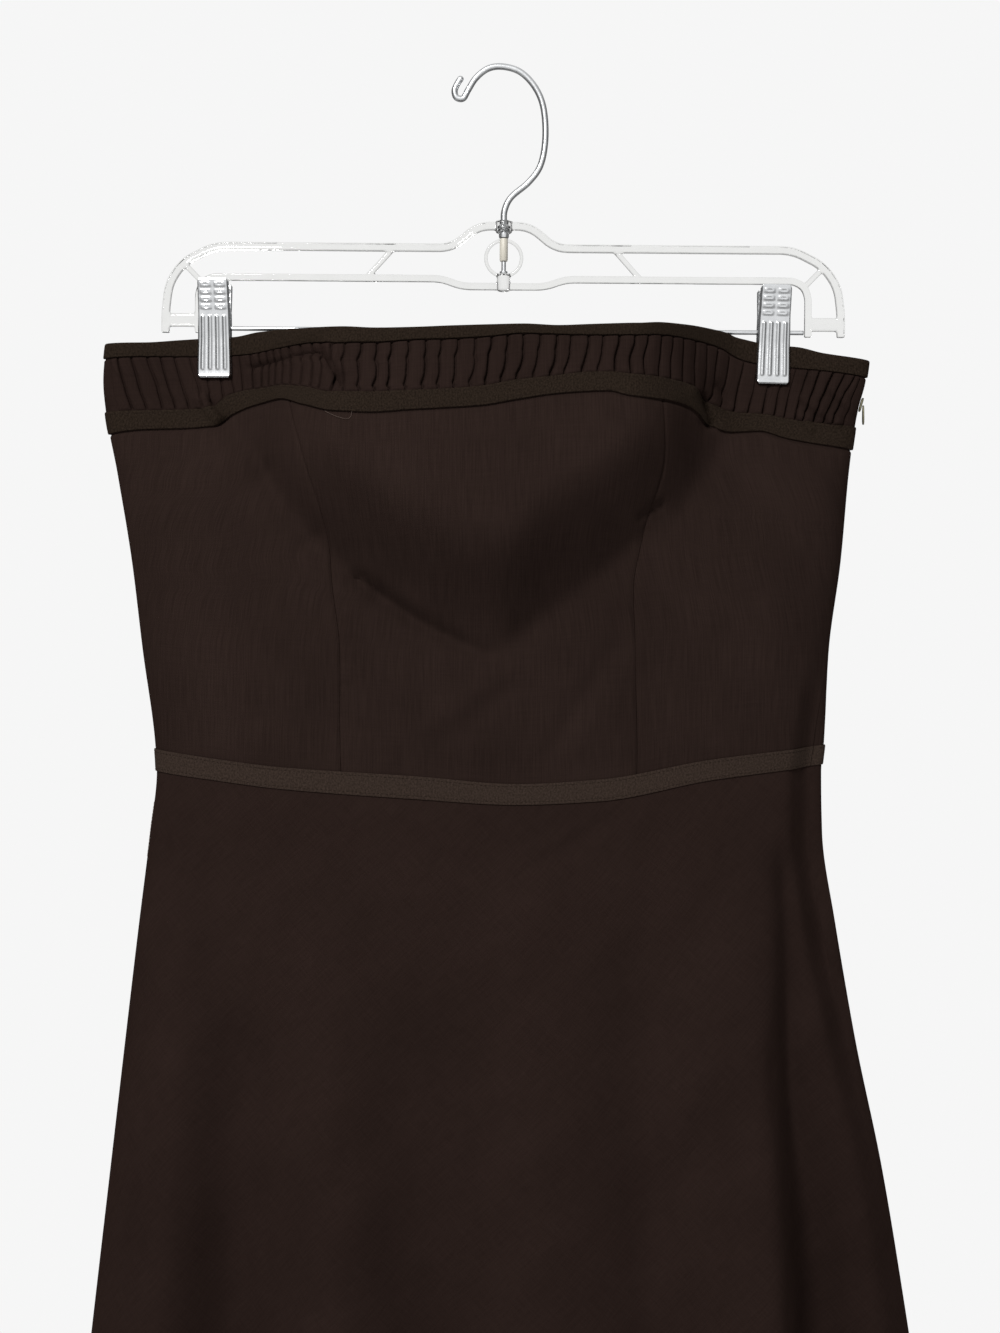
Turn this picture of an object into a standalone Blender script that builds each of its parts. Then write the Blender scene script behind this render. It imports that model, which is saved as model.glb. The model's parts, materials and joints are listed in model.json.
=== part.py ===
"""Strapless dress with a pin-tucked band, hanging from a clear clip hanger.

Lengths in this file are millimetres and become metres when a mesh is made.
X runs to the viewer's right, Y away from the viewer and Z up. The origin is the
inner top of the hook, where a rail carries the hanger.

The dress is one closed loop of cloth at every height. A place on it is given by a
seam number, 0 at the top edge and 6 at the hem, and by a mark, 0 to 60 along the
front from the left fold to the zip seam, or along the back from the zip seam
round to the left fold. One mark is one pin tuck.
"""

import math
from collections import namedtuple

import bmesh
import bpy
import numpy as np

MM = 0.001

# Cloth and trim
CLOTH = 1.0
SEAM_GAP = 0.36
RIBBON_LIFT = 0.3
RIBBON_THICK = 1.0
TUCK_RAISE = 1.1
TUCKS = 60
TUCK_DROP = 0.8
LOOP_SAMPLES = 720

# Clips, seen from the front
LEFT_CLIP_X = -155.5
RIGHT_CLIP_X = 146.0
LEFT_CLIP_DROP = 0.0
RIGHT_CLIP_DROP = 2.0
JAW_BOTTOM = -168.0
PINCH_HALF = 9.9
PINCH_SPREAD = 72.0
PINCH_FADE = 77.0
PINCH_DEPTH = 0.75

# Hanger
TILT = math.radians(0.45)
HANGER_X = 1.2
WIRE_RADIUS = 1.7
ROD_RADIUS = 1.2
ROD_Z = -140.6
ROD_HALF = 162.2

Height = namedtuple("Height", "across top_edge binding_low ribbon_top ribbon_low")
FRONT_TOP = [
    Height(0.000, -148.0, -156.0, -185.0, -196.5),
    Height(0.050, -147.6, -155.1, -184.6, -194.8),
    Height(0.100, -145.8, -154.7, -183.9, -194.2),
    Height(0.141, -144.7, -154.5, -182.4, -192.7),
    Height(0.165, -144.2, -154.1, -175.6, -186.8),
    Height(0.200, -142.3, -153.3, -172.8, -181.7),
    Height(0.235, -142.7, -152.2, -172.7, -180.0),
    Height(0.270, -144.3, -151.9, -175.5, -185.0),
    Height(0.313, -145.9, -154.5, -180.7, -190.6),
    Height(0.360, -147.1, -154.7, -181.4, -191.9),
    Height(0.410, -146.7, -153.3, -180.5, -190.6),
    Height(0.451, -146.0, -152.8, -179.9, -189.7),
    Height(0.500, -145.4, -151.7, -178.3, -188.4),
    Height(0.545, -145.0, -150.0, -174.9, -185.3),
    Height(0.588, -145.8, -150.5, -173.0, -182.5),
    Height(0.630, -145.2, -150.9, -170.9, -181.1),
    Height(0.660, -144.8, -150.9, -170.7, -180.7),
    Height(0.688, -144.4, -150.7, -171.9, -183.1),
    Height(0.715, -143.0, -149.6, -172.3, -183.9),
    Height(0.740, -142.3, -149.2, -172.9, -184.3),
    Height(0.767, -141.8, -149.5, -174.2, -185.5),
    Height(0.800, -142.3, -151.1, -181.3, -193.0),
    Height(0.831, -145.2, -156.2, -185.3, -196.3),
    Height(0.872, -148.6, -159.6, -186.2, -195.6),
    Height(0.905, -149.6, -160.8, -188.6, -199.2),
    Height(0.940, -153.1, -162.3, -190.8, -201.9),
    Height(1.000, -157.0, -166.0, -193.0, -205.0),
]
BACK_TOP = [
    Height(0.000, -148.0, -156.0, -185.0, -196.5),
    Height(0.141, -146, -155, -186, -196),
    Height(0.500, -147, -156, -187, -197),
    Height(0.872, -149, -158, -189, -199),
    Height(1.000, -157.0, -166.0, -193.0, -205.0),
]

Waist = namedtuple("Waist", "across ribbon_top ribbon_low")
FRONT_WAIST = [
    Waist(0.000, -366.0, -378.0),
    Waist(0.090, -370.5, -382.0),
    Waist(0.190, -375.0, -386.5),
    Waist(0.396, -380.0, -392.0),
    Waist(0.541, -384.0, -395.0),
    Waist(0.666, -381.5, -393.0),
    Waist(0.829, -371.0, -382.0),
    Waist(1.000, -364.0, -374.5),
]
BACK_WAIST = [
    Waist(0.000, -366.0, -378.0),
    Waist(0.500, -376.0, -388.0),
    Waist(1.000, -364.0, -374.5),
]

Hem = namedtuple("Hem", "across height")
HEM = [Hem(0.0, -1014.0), Hem(0.5, -1030.0), Hem(1.0, -1012.0)]

# Outline of the hanging dress, and how far its middle stands from the hanger's plane
Width = namedtuple("Width", "height left right front back")
WIDTHS = [
    Width(-140, -213.0, 199.0, 14.0, 11.0),
    Width(-168, -215.5, 195.5, 16.0, 12.0),
    Width(-185, -214.0, 191.0, 18.0, 13.0),
    Width(-217, -208.0, 186.5, 21.0, 13.0),
    Width(-265, -200.0, 182.0, 23.0, 13.0),
    Width(-314, -194.0, 175.5, 24.0, 13.0),
    Width(-362, -187.5, 173.0, 24.0, 13.0),
    Width(-378, -186.5, 171.5, 23.0, 13.0),
    Width(-411, -190.0, 172.0, 24.0, 15.0),
    Width(-460, -196.0, 179.0, 29.0, 19.0),
    Width(-524, -203.5, 190.0, 35.0, 25.0),
    Width(-589, -211.0, 203.5, 40.0, 30.0),
    Width(-645, -217.5, 213.0, 43.0, 34.0),
    Width(-1035, -262.0, 271.0, 62.0, 52.0),
]

# The bust's fullness, which sags between the clips down to this line
BUST_FULLNESS = 36.0
BUST_ROLL = 70.0
BUST_TOP_LOSS = 0.17
Sag = namedtuple("Sag", "x height")
BUST_LINE = [
    Sag(-214, -100),
    Sag(-160, -150),
    Sag(-138, -200),
    Sag(-110, -254),
    Sag(-78, -281),
    Sag(-42, -303),
    Sag(-2, -316),
    Sag(26, -296),
    Sag(55, -276),
    Sag(90, -249),
    Sag(113, -216),
    Sag(127, -196),
    Sag(150, -150),
    Sag(200, -100),
]

# The skirt's flutes: where each starts and ends across, its rise and its two half widths
Flute = namedtuple("Flute", "start middle end rise left right")
FRONT_FLUTES = [
    Flute(0.015, 0.070, 0.080, 15.0, 0.050, 0.050),
    Flute(0.110, 0.172, 0.180, -18.0, 0.050, 0.060),
    Flute(0.240, 0.300, 0.310, 17.0, 0.060, 0.070),
    Flute(0.450, 0.450, 0.440, -5.0, 0.070, 0.070),
    Flute(0.560, 0.550, 0.540, 7.0, 0.080, 0.080),
    Flute(0.720, 0.695, 0.690, -9.0, 0.050, 0.040),
    Flute(0.930, 0.845, 0.820, 26.0, 0.075, 0.028),
    Flute(0.975, 0.905, 0.885, -25.0, 0.028, 0.045),
]
BACK_FLUTES = [
    Flute(0.080, 0.110, 0.120, 13.0, 0.060, 0.060),
    Flute(0.220, 0.240, 0.250, -12.0, 0.070, 0.070),
    Flute(0.390, 0.385, 0.380, 15.0, 0.080, 0.070),
    Flute(0.540, 0.530, 0.520, -11.0, 0.060, 0.080),
    Flute(0.690, 0.680, 0.670, 16.0, 0.070, 0.070),
    Flute(0.860, 0.840, 0.830, -12.0, 0.060, 0.060),
]
FLUTE_TOP = -405.0
FLUTE_MIDDLE = -540.0
FLUTE_FULL = -700.0

# The fold along the zip seam: how far in from the outline it lies, and how deep it is
Groove = namedtuple("Groove", "height inset depth")
GROOVE = [
    Groove(-140, 0.0, 0.0),
    Groove(-300, 0.0, 0.0),
    Groove(-364, 6.0, 0.9),
    Groove(-449, 8.0, 1.0),
    Groove(-503, 6.5, 0.9),
    Groove(-551, 4.5, 0.5),
    Groove(-637, 3.0, 0.3),
    Groove(-1035, 2.0, 0.2),
]
GROOVE_WIDTH = 14.0
GROOVE_FLOOR = 4.0

# Princess seams: where they run across the front
Princess = namedtuple("Princess", "height left right")
PRINCESS = [
    Princess(-140, 0.240, 0.735),
    Princess(-185, 0.247, 0.737),
    Princess(-217, 0.263, 0.742),
    Princess(-256, 0.283, 0.718),
    Princess(-283, 0.286, 0.707),
    Princess(-314, 0.293, 0.713),
    Princess(-378, 0.282, 0.716),
    Princess(-1035, 0.282, 0.716),
]

# Marks that every cloth piece has a column at; the fronts split at the princess seams
LEFT_PRINCESS = 16.5
RIGHT_PRINCESS = 42.5
CLIP_MARKS = (7.0, 10.0)
COLUMNS = np.array([
    0, 0.2, 0.5, 1, 2, 4, 6, 7, 10, 11, 12, 13, 14, 16.5,
    20, 23, 26, 30, 34, 37, 40, 42.5, 45, 47, 48, 49, 50,
    53, 54, 56, 58, 59, 59.5, 59.8, 60,
])

# Seam numbers of the rows of each piece
BINDING_ROWS = [0.0, 1.0]
BAND_ROWS = [0.12, 1.0, 1.5, 2.0, 2.48]
RIBBON_ROWS = [2.0, 2.5, 3.0]
BODICE_ROWS = [2.52, 3.0, 3.12, 3.25, 3.38, 3.5, 3.62, 3.8, 4.0, 4.48]
WAIST_ROWS = [4.0, 4.5, 5.0]
SKIRT_ROWS = [4.52, 5.0, 5.06, 5.13, 5.22, 5.33, 5.46, 5.63, 5.81, 6.0]
TUCK_ROWS = [1.14, 1.5, 1.86]

# Zip in the side seam
ZIP_LIFT = -0.8
ZIP_THICK = 0.7
ZIP_TOP = 0.3
ZIP_BOTTOM = 5.33
SLIDER_HEIGHT = -181.5
SLIDER_UP = 4.5
SLIDER_DOWN = 3.0
SLIDER_THICK = 1.0
PULL_LENGTH = 10.5
PULL_THICK = 0.9


def smooth(at, places, values):
    """Curve through a table's points that does not overshoot between them."""
    places = np.asarray(places, float)
    values = np.asarray(values, float)
    step = np.diff(places)
    rise = np.diff(values) / step
    slope = np.zeros_like(values)
    slope[0] = rise[0]
    slope[-1] = rise[-1]
    product = rise[:-1] * rise[1:]
    total = rise[:-1] + rise[1:]
    total[product <= 0] = 1.0
    slope[1:-1] = np.where(product > 0, 2 * product / total, 0.0)
    at = np.asarray(at, float)
    k = np.clip(np.searchsorted(places, at) - 1, 0, len(step) - 1)
    t = np.clip((at - places[k]) / step[k], 0.0, 1.0)
    start = values[k] * (1 + 2 * t) * (1 - t) ** 2
    end = values[k + 1] * t * t * (3 - 2 * t)
    lean = step[k] * t * (1 - t) * (slope[k] * (1 - t) - slope[k + 1] * t)
    return start + end + lean


def ease(t):
    """Soft step from 0 to 1."""
    t = np.clip(t, 0.0, 1.0)
    return t * t * (3 - 2 * t)


def column(table, name):
    """One named column of a table."""
    return [getattr(row, name) for row in table]


def by_height(table, key, z):
    """A column read at heights z, for a table whose rows run downwards."""
    return smooth(-z, [-row.height for row in table], column(table, key))


def seam_heights(across, front):
    """Heights of the seven seams at a place across the front or the back."""
    top = FRONT_TOP if front else BACK_TOP
    waist = FRONT_WAIST if front else BACK_WAIST
    names = ["top_edge", "binding_low", "ribbon_top", "ribbon_low"]
    rows = [smooth(across, column(top, "across"), column(top, key)) for key in names]
    for key in ("ribbon_top", "ribbon_low"):
        rows.append(smooth(across, column(waist, "across"), column(waist, key)))
    rows.append(smooth(across, column(HEM, "across"), column(HEM, "height")))
    return rows


def height(across, seam, front):
    """Height at a seam number, between the two seams round it."""
    rows = seam_heights(across, front)
    above = min(int(seam), len(rows) - 2)
    share = seam - above
    return rows[above] * (1 - share) + rows[above + 1] * share


def pinch(x, z):
    """How far the clips press the cloth together, 1 between their jaws."""
    press = np.zeros_like(x)
    for clip_x, drop in ((LEFT_CLIP_X, LEFT_CLIP_DROP), (RIGHT_CLIP_X, RIGHT_CLIP_DROP)):
        beside = 1 - ease((np.abs(x - clip_x) - PINCH_HALF) / PINCH_SPREAD)
        below = 1 - ease((JAW_BOTTOM - drop - z) / PINCH_FADE)
        press = np.maximum(press, beside * below)
    return press


def flutes(across, z, table):
    """Sum of the skirt's flutes, which grow from just below the waist."""
    growth = 0.35 * ease((FLUTE_TOP - z) / (FLUTE_TOP - FLUTE_MIDDLE))
    growth = growth + 0.75 * ease((FLUTE_MIDDLE + 60 - z) / (FLUTE_MIDDLE + 60 - FLUTE_FULL))
    down = np.clip((FLUTE_TOP - z) / (FLUTE_TOP - FLUTE_FULL), 0.0, 1.0)
    total = np.zeros_like(across)
    for flute in table:
        early = flute.start + (flute.middle - flute.start) * ease(down * 2)
        place = early + (flute.end - flute.middle) * ease(down * 2 - 1)
        spread = np.where(across < place, flute.left, flute.right)
        total = total + flute.rise * np.exp(-((across - place) / spread) ** 2)
    return total * growth


def bust(x, z):
    """Extra fullness of the bust above its sagging line."""
    line = smooth(x, column(BUST_LINE, "x"), column(BUST_LINE, "height"))
    top = 1 - BUST_TOP_LOSS * ease((z + 205) / 60)
    return BUST_FULLNESS * top * ease((z - line) / BUST_ROLL)


def depth_at(across, x, z, cosine, front):
    """Distance of the cloth from the hanger's plane, on the front or the back."""
    power = 6.0 - 1.6 * ease((-420 - z) / 250)
    round_end = np.sqrt(np.clip(1 - np.abs(cosine) ** power, 0.0, 1.0))
    if front:
        middle = by_height(WIDTHS, "front", z) + flutes(across, z, FRONT_FLUTES)
        depth = round_end * (middle + bust(x, z))
        inset = by_height(GROOVE, "inset", z)
        strength = by_height(GROOVE, "depth", z)
        edge = by_height(WIDTHS, "right", z) - inset
        near = strength * ease((x - edge + GROOVE_WIDTH) / GROOVE_WIDTH)
        depth = depth - near * np.maximum(depth - GROOVE_FLOOR, 0.0)
    else:
        middle = by_height(WIDTHS, "back", z) + flutes(across, z, BACK_FLUTES)
        depth = round_end * middle
    press = pinch(x, z)
    return depth + (PINCH_DEPTH - depth) * press


def loop_points(turn, seam):
    """Middle of the cloth round the loop: turn 0 to 1 is the front, 1 to 2 the back."""
    cosine = np.cos(math.pi * turn)
    across = (1 - cosine) / 2
    points = np.zeros((len(turn), 3))
    for front in (True, False):
        here = (turn <= 1) if front else (turn > 1)
        f = across[here]
        z = height(f, seam, front)
        left = by_height(WIDTHS, "left", z)
        x = left + (by_height(WIDTHS, "right", z) - left) * f
        depth = depth_at(f, x, z, cosine[here], front)
        points[here] = np.stack([x, -depth if front else depth, z], axis=1)
    return points


class Loop:
    """The cloth's loop at one seam number, measured along its length."""

    kept = {}

    def __init__(self, seam):
        turn = np.linspace(0.0, 2.0, LOOP_SAMPLES + 1)
        self.points = loop_points(turn, seam)
        step = 0.004
        lower = loop_points(turn, min(seam + step, 6.0))
        upper = loop_points(turn, max(seam - step, 0.0))
        along = np.roll(self.points[:-1], -1, axis=0) - np.roll(self.points[:-1], 1, axis=0)
        along = np.vstack([along, along[:1]])
        normals = np.cross(lower - upper, along)
        self.normals = normals / np.linalg.norm(normals, axis=1)[:, None]
        lengths = np.linalg.norm(np.diff(self.points, axis=0), axis=1)
        self.run = np.concatenate([[0.0], np.cumsum(lengths)])
        half = LOOP_SAMPLES // 2
        front = self.points[:half + 1]
        inset = by_height(GROOVE, "inset", front[:, 2])
        beyond = front[:, 0] - (by_height(WIDTHS, "right", front[:, 2]) - inset)
        self.zip_run = np.interp(0.0, beyond[half // 2:], self.run[half // 2:half + 1])
        even_marks = [0.0, LEFT_PRINCESS, RIGHT_PRINCESS, TUCKS]
        middle = front[half // 2:half // 2 + 1, 2]
        across = (front[:, 0] - front[0, 0]) / (front[-1, 0] - front[0, 0])
        seams = [np.interp(by_height(PRINCESS, key, middle)[0], across, self.run[:half + 1])
                 for key in ("left", "right")]
        even_runs = [0.0, *seams, self.zip_run]
        loose = float(ease(seam - 3.0))
        near, far = CLIP_MARKS
        self.front_marks = [0.0, near, far, *even_marks[1:3], TUCKS - far, TUCKS - near, TUCKS]
        self.back_marks = [0.0, near, far, TUCKS - far, TUCKS - near, TUCKS]
        edges = [LEFT_CLIP_X - PINCH_HALF, LEFT_CLIP_X + PINCH_HALF,
                 RIGHT_CLIP_X - PINCH_HALF, RIGHT_CLIP_X + PINCH_HALF]
        held = np.interp(edges, front[:, 0], self.run[:half + 1])
        even = np.interp([near, far, TUCKS - far, TUCKS - near], even_marks, even_runs)
        runs = held * (1 - loose) + even * loose
        self.front_runs = [0.0, *runs[:2], *seams, *runs[2:], self.zip_run]
        back = self.points[half:]
        held = np.interp([-x for x in reversed(edges)], -back[:, 0], self.run[half:])
        share = np.array([near, far, TUCKS - far, TUCKS - near]) / TUCKS
        even = self.zip_run + (self.run[-1] - self.zip_run) * share
        runs = held * (1 - loose) + even * loose
        self.back_runs = [self.zip_run, *runs, self.run[-1]]

    @classmethod
    def at(cls, seam):
        if seam not in cls.kept:
            cls.kept[seam] = cls(seam)
        return cls.kept[seam]

    def place(self, marks, side, lift, start_gap=0.0, end_gap=0.0):
        """Points at marks on the front or the back, lifted off the cloth's middle."""
        if side == "front":
            run = np.interp(marks, self.front_marks, self.front_runs)
        else:
            run = np.interp(marks, self.back_marks, self.back_runs)
        run[0] += start_gap
        run[-1] -= end_gap
        points = np.stack([np.interp(run, self.run, self.points[:, k]) for k in range(3)], 1)
        normals = np.stack([np.interp(run, self.run, self.normals[:, k]) for k in range(3)], 1)
        normals /= np.linalg.norm(normals, axis=1)[:, None]
        return points + normals * lift, normals


def stitch(first, first_at, second, second_at, rising=False):
    """Triangles between two rows of points whose places along the rows may differ.

    Level points give the same diagonal on both faces of a wall: rising is for rows
    that are taken from the bottom up.
    """
    faces = []
    i = 0
    j = 0
    while i < len(first) - 1 or j < len(second) - 1:
        can_first = i < len(first) - 1
        can_second = j < len(second) - 1
        ahead_first = first_at[i + 1] if can_first else math.inf
        ahead_second = second_at[j + 1] if can_second else math.inf
        level = ahead_second == ahead_first
        if can_second and (ahead_second < ahead_first or (level and not rising)):
            faces.append((first[i], second[j], second[j + 1]))
            j += 1
        else:
            faces.append((first[i], second[j], first[i + 1]))
            i += 1
    return faces


def wall_mesh(outer, inner):
    """Closed wall from outer and inner rows, each a pair of marks and points."""
    ring = list(outer) + list(reversed(inner))
    ids = []
    points = []
    for marks, row in ring:
        ids.append(list(range(len(points), len(points) + len(row))))
        points.extend(row)
    faces = []
    count = len(outer)
    for k in range(len(ring)):
        nxt = (k + 1) % len(ring)
        faces += stitch(ids[k], ring[k][0], ids[nxt], ring[nxt][0], k >= count)
    outer_ids = ids[:count]
    inner_ids = list(reversed(ids[count:]))
    outer_at = [k / (count - 1) for k in range(count)]
    inner_at = [k / (len(inner) - 1) for k in range(len(inner))]
    faces += stitch([row[0] for row in outer_ids], outer_at,
                    [row[0] for row in inner_ids], inner_at)
    faces += stitch([row[-1] for row in inner_ids], inner_at,
                    [row[-1] for row in outer_ids], outer_at)
    return np.array(points), faces


def material(name, colour, roughness, metallic=0.0, clear=0.0):
    """Principled finish of one piece."""
    mat = bpy.data.materials.new(name)
    mat.use_nodes = True
    shader = mat.node_tree.nodes["Principled BSDF"]
    shader.inputs["Base Color"].default_value = (*colour, 1.0)
    shader.inputs["Roughness"].default_value = roughness
    shader.inputs["Metallic"].default_value = metallic
    shader.inputs["Transmission Weight"].default_value = clear
    return mat


def cloth_finish(name):
    return material(name, (0.024, 0.014, 0.011), 0.85)


def ribbon_finish(name):
    return material(name, (0.033, 0.023, 0.018), 0.7)


def metal_finish(name):
    return material(name, (0.62, 0.63, 0.64), 0.25, metallic=1.0)


def clear_finish(name):
    return material(name, (0.86, 0.87, 0.87), 0.12, clear=0.6)


def add_object(name, points, faces, finish):
    """Object from points in millimetres, its faces pointing out."""
    mesh = bpy.data.meshes.new(name)
    mesh.from_pydata([tuple(p * MM) for p in np.asarray(points)], [], faces)
    mesh.validate()
    mesh.shade_smooth()
    mesh.set_sharp_from_angle(angle=math.radians(40))
    obj = bpy.data.objects.new(name, mesh)
    obj.data.materials.append(finish(name + "_finish"))
    bpy.context.collection.objects.link(obj)
    return obj


def plain_rows(seams, marks, side, lift, gaps):
    """Rows of one face of a piece, with half a seam's gap at each end."""
    rows = []
    for seam in seams:
        points, _ = Loop.at(seam).place(marks, side, lift, *gaps)
        rows.append((marks, points))
    return rows


def add_wall(name, seams, marks, side, inner_lift, outer_lift, finish):
    """Panel or ribbon between two distances from the cloth's middle."""
    gaps = (SEAM_GAP / 2, SEAM_GAP / 2)
    outer = plain_rows(seams, marks, side, outer_lift, gaps)
    inner = plain_rows(seams, marks, side, inner_lift, gaps)
    points, faces = wall_mesh(outer, inner)
    return add_object(name, points, faces, finish)


def tuck_height(marks):
    """Slats that rise over most of a mark and drop sharply, flat beside the side seams."""
    share = marks % 1.0
    slat = np.where(share < TUCK_DROP, share / TUCK_DROP, (1 - share) / (1 - TUCK_DROP))
    slat = np.where(np.abs(share) < 1e-9, 0.0, slat)
    ends = np.minimum(marks, TUCKS - marks)
    return TUCK_RAISE * slat * (ends > 1.05)


def add_tuck_band(name, side):
    """Band of pin tucks: plain rows under the ribbons, raised slats between them."""
    gaps = (SEAM_GAP / 2, SEAM_GAP / 2)
    slats = np.concatenate([[k, k + TUCK_DROP] for k in range(TUCKS)])
    fine = np.unique(np.round(np.concatenate([slats, COLUMNS]), 3))
    outer = []
    for seam in sorted(set(BAND_ROWS) | set(TUCK_ROWS)):
        points, normals = Loop.at(seam).place(COLUMNS, side, CLOTH / 2, *gaps)
        if seam in TUCK_ROWS:
            base = np.stack([np.interp(fine, COLUMNS, points[:, k]) for k in range(3)], 1)
            out = np.stack([np.interp(fine, COLUMNS, normals[:, k]) for k in range(3)], 1)
            outer.append((fine, base + out * tuck_height(fine)[:, None]))
        else:
            outer.append((COLUMNS, points))
    inner = plain_rows(BAND_ROWS, COLUMNS, side, -CLOTH / 2, gaps)
    points, faces = wall_mesh(outer, inner)
    return add_object(name, points, faces, cloth_finish)


def add_dress():
    """Every cut piece of the dress, from the top edge to the hem."""
    left = COLUMNS[COLUMNS <= LEFT_PRINCESS]
    centre = COLUMNS[(COLUMNS >= LEFT_PRINCESS) & (COLUMNS <= RIGHT_PRINCESS)]
    right = COLUMNS[COLUMNS >= RIGHT_PRINCESS]
    half = CLOTH / 2
    low = half + RIBBON_LIFT
    high = low + RIBBON_THICK
    for side in ("front", "back"):
        add_wall("binding_" + side, BINDING_ROWS, COLUMNS, side, low, high, ribbon_finish)
        add_tuck_band("tuck_band_" + side, side)
        add_wall("band_ribbon_" + side, RIBBON_ROWS, COLUMNS, side, low, high, ribbon_finish)
        add_wall("waist_ribbon_" + side, WAIST_ROWS, COLUMNS, side, low, high, ribbon_finish)
        add_wall("skirt_" + side, SKIRT_ROWS, COLUMNS, side, -half, half, cloth_finish)
    panels = (("bodice_side_front_left", left), ("bodice_centre_front", centre),
              ("bodice_side_front_right", right))
    for name, marks in panels:
        add_wall(name, BODICE_ROWS, marks, "front", -half, half, cloth_finish)
    add_wall("bodice_back", BODICE_ROWS, COLUMNS, "back", -half, half, cloth_finish)


def add_zip_tape():
    """Tape of the invisible zip, just inside the side seam."""
    seams = [ZIP_TOP] + [s for s in sorted(set(BAND_ROWS + BODICE_ROWS + SKIRT_ROWS))
                         if ZIP_TOP < s < ZIP_BOTTOM - 0.02] + [ZIP_BOTTOM]
    marks = np.array([0.0, 1.0, 2.0, 3.0, 4.0])

    def face(lift):
        rows = []
        for seam in seams:
            loop = Loop.at(seam)
            before, _ = loop.place(np.array([59.5, 59.8, 60.0]), "front", lift)
            after, _ = loop.place(np.array([0.0, 0.2, 0.5]), "back", lift)
            rows.append((marks, np.vstack([before, after[1:]])))
        return rows

    points, faces = wall_mesh(face(ZIP_LIFT), face(ZIP_LIFT - ZIP_THICK))
    add_object("side_zip", points, faces, cloth_finish)


def extrude_outline(outline, axis, low, high):
    """Closed slab from a flat outline of two coordinates, pushed along the third axis."""
    others = [k for k in range(3) if k != axis]
    points = []
    for level in (low, high):
        for a, b in outline:
            point = np.zeros(3)
            point[others[0]] = a
            point[others[1]] = b
            point[axis] = level
            points.append(point)
    count = len(outline)
    faces = [tuple(range(count)), tuple(range(2 * count - 1, count - 1, -1))]
    for k in range(count):
        nxt = (k + 1) % count
        faces.append((k, k + count, nxt + count, nxt))
    return np.array(points), faces


def face_out(points, faces):
    """Turn every face round when the solid's volume comes out negative."""
    volume = 0.0
    for face in faces:
        for k in range(1, len(face) - 1):
            corner = points[[face[0], face[k], face[k + 1]]]
            volume += np.dot(corner[0], np.cross(corner[1], corner[2]))
    if volume < 0:
        faces = [tuple(reversed(face)) for face in faces]
    return faces


def rounded(half_width, top, bottom, radius, steps=4):
    """Rectangle with round corners, about the middle of the first coordinate."""
    corners = [(half_width - radius, top - radius, 0), (-half_width + radius, top - radius, 90),
               (-half_width + radius, bottom + radius, 180), (half_width - radius, bottom + radius, 270)]
    outline = []
    for x, z, start in corners:
        for k in range(steps + 1):
            angle = math.radians(start + 90 * k / steps)
            outline.append((x + radius * math.cos(angle), z + radius * math.sin(angle)))
    return outline


def add_slider_and_pull():
    """Slider that leans with the side seam, and the pull tab that hangs from it."""
    row = Loop.at(1.5).place(np.array([60.0, 60.0]), "front", 0.0)[0][0]
    off = CLOTH / 2 + RIBBON_LIFT
    outline = rounded(1.9, SLIDER_HEIGHT + SLIDER_UP, SLIDER_HEIGHT - SLIDER_DOWN, 1.0)
    points, faces = extrude_outline(outline, 0, off, off + SLIDER_THICK)
    points[:, 0] += by_height(WIDTHS, "right", points[:, 2])
    points[:, 1] += row[1]
    add_object("zip_slider", points, face_out(points, faces), metal_finish)
    outline = rounded(1.6, SLIDER_HEIGHT + 0.5, SLIDER_HEIGHT + 0.5 - PULL_LENGTH, 1.2)
    shoulder = by_height(WIDTHS, "right", np.array([SLIDER_HEIGHT + 0.5]))[0]
    pull_in = shoulder + off + SLIDER_THICK + 0.3
    points, faces = extrude_outline(outline, 0, pull_in, pull_in + PULL_THICK)
    points[:, 1] += row[1]
    hinge = np.array([pull_in + PULL_THICK / 2, row[1], SLIDER_HEIGHT])
    pull = add_object("zip_pull", points - hinge, face_out(points, faces), metal_finish)
    pull.location = tuple(hinge * MM)


def curve_through(knots, steps):
    """Rounded curve through hand-set points, an equal number of steps between each two."""
    knots = np.asarray(knots, float)
    padded = np.vstack([2 * knots[0] - knots[1], knots, 2 * knots[-1] - knots[-2]])
    points = []
    for k in range(1, len(padded) - 2):
        a, b, c, d = padded[k - 1:k + 3]
        for s in range(steps):
            t = s / steps
            points.append(0.5 * (2 * b + (c - a) * t + (2 * a - 5 * b + 4 * c - d) * t * t
                                 + (3 * b - a - 3 * c + d) * t ** 3))
    points.append(knots[-1])
    return np.array(points)


def tube(path, profile):
    """Section carried along a flat path in the XZ plane, mitred at its turns, with caps."""
    path = np.asarray(path, float)
    ahead = np.diff(path, axis=0)
    ahead /= np.linalg.norm(ahead, axis=1)[:, None]
    before = np.vstack([ahead[:1], ahead])
    after = np.vstack([ahead, ahead[-1:]])
    middle = before + after
    middle /= np.linalg.norm(middle, axis=1)[:, None]
    side = np.stack([middle[:, 1], -middle[:, 0]], axis=1)
    stretch = 1 / np.sum(middle * after, axis=1)
    points = []
    for centre, out, wide in zip(path, side, stretch):
        for across, deep in profile:
            points.append((centre[0] + out[0] * across * wide, deep,
                           centre[1] + out[1] * across * wide))
    count = len(profile)
    faces = [tuple(range(count)), tuple(len(points) - 1 - k for k in range(count))]
    for k in range(len(path) - 1):
        for j in range(count):
            nxt = (j + 1) % count
            a = k * count
            b = a + count
            faces.append((a + j, b + j, b + nxt, a + nxt))
    points = np.array(points)
    return points, face_out(points, faces)


def ring_profile(radius, count):
    """Round section."""
    return [(radius * math.cos(2 * math.pi * k / count), radius * math.sin(2 * math.pi * k / count))
            for k in range(count)]


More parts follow.
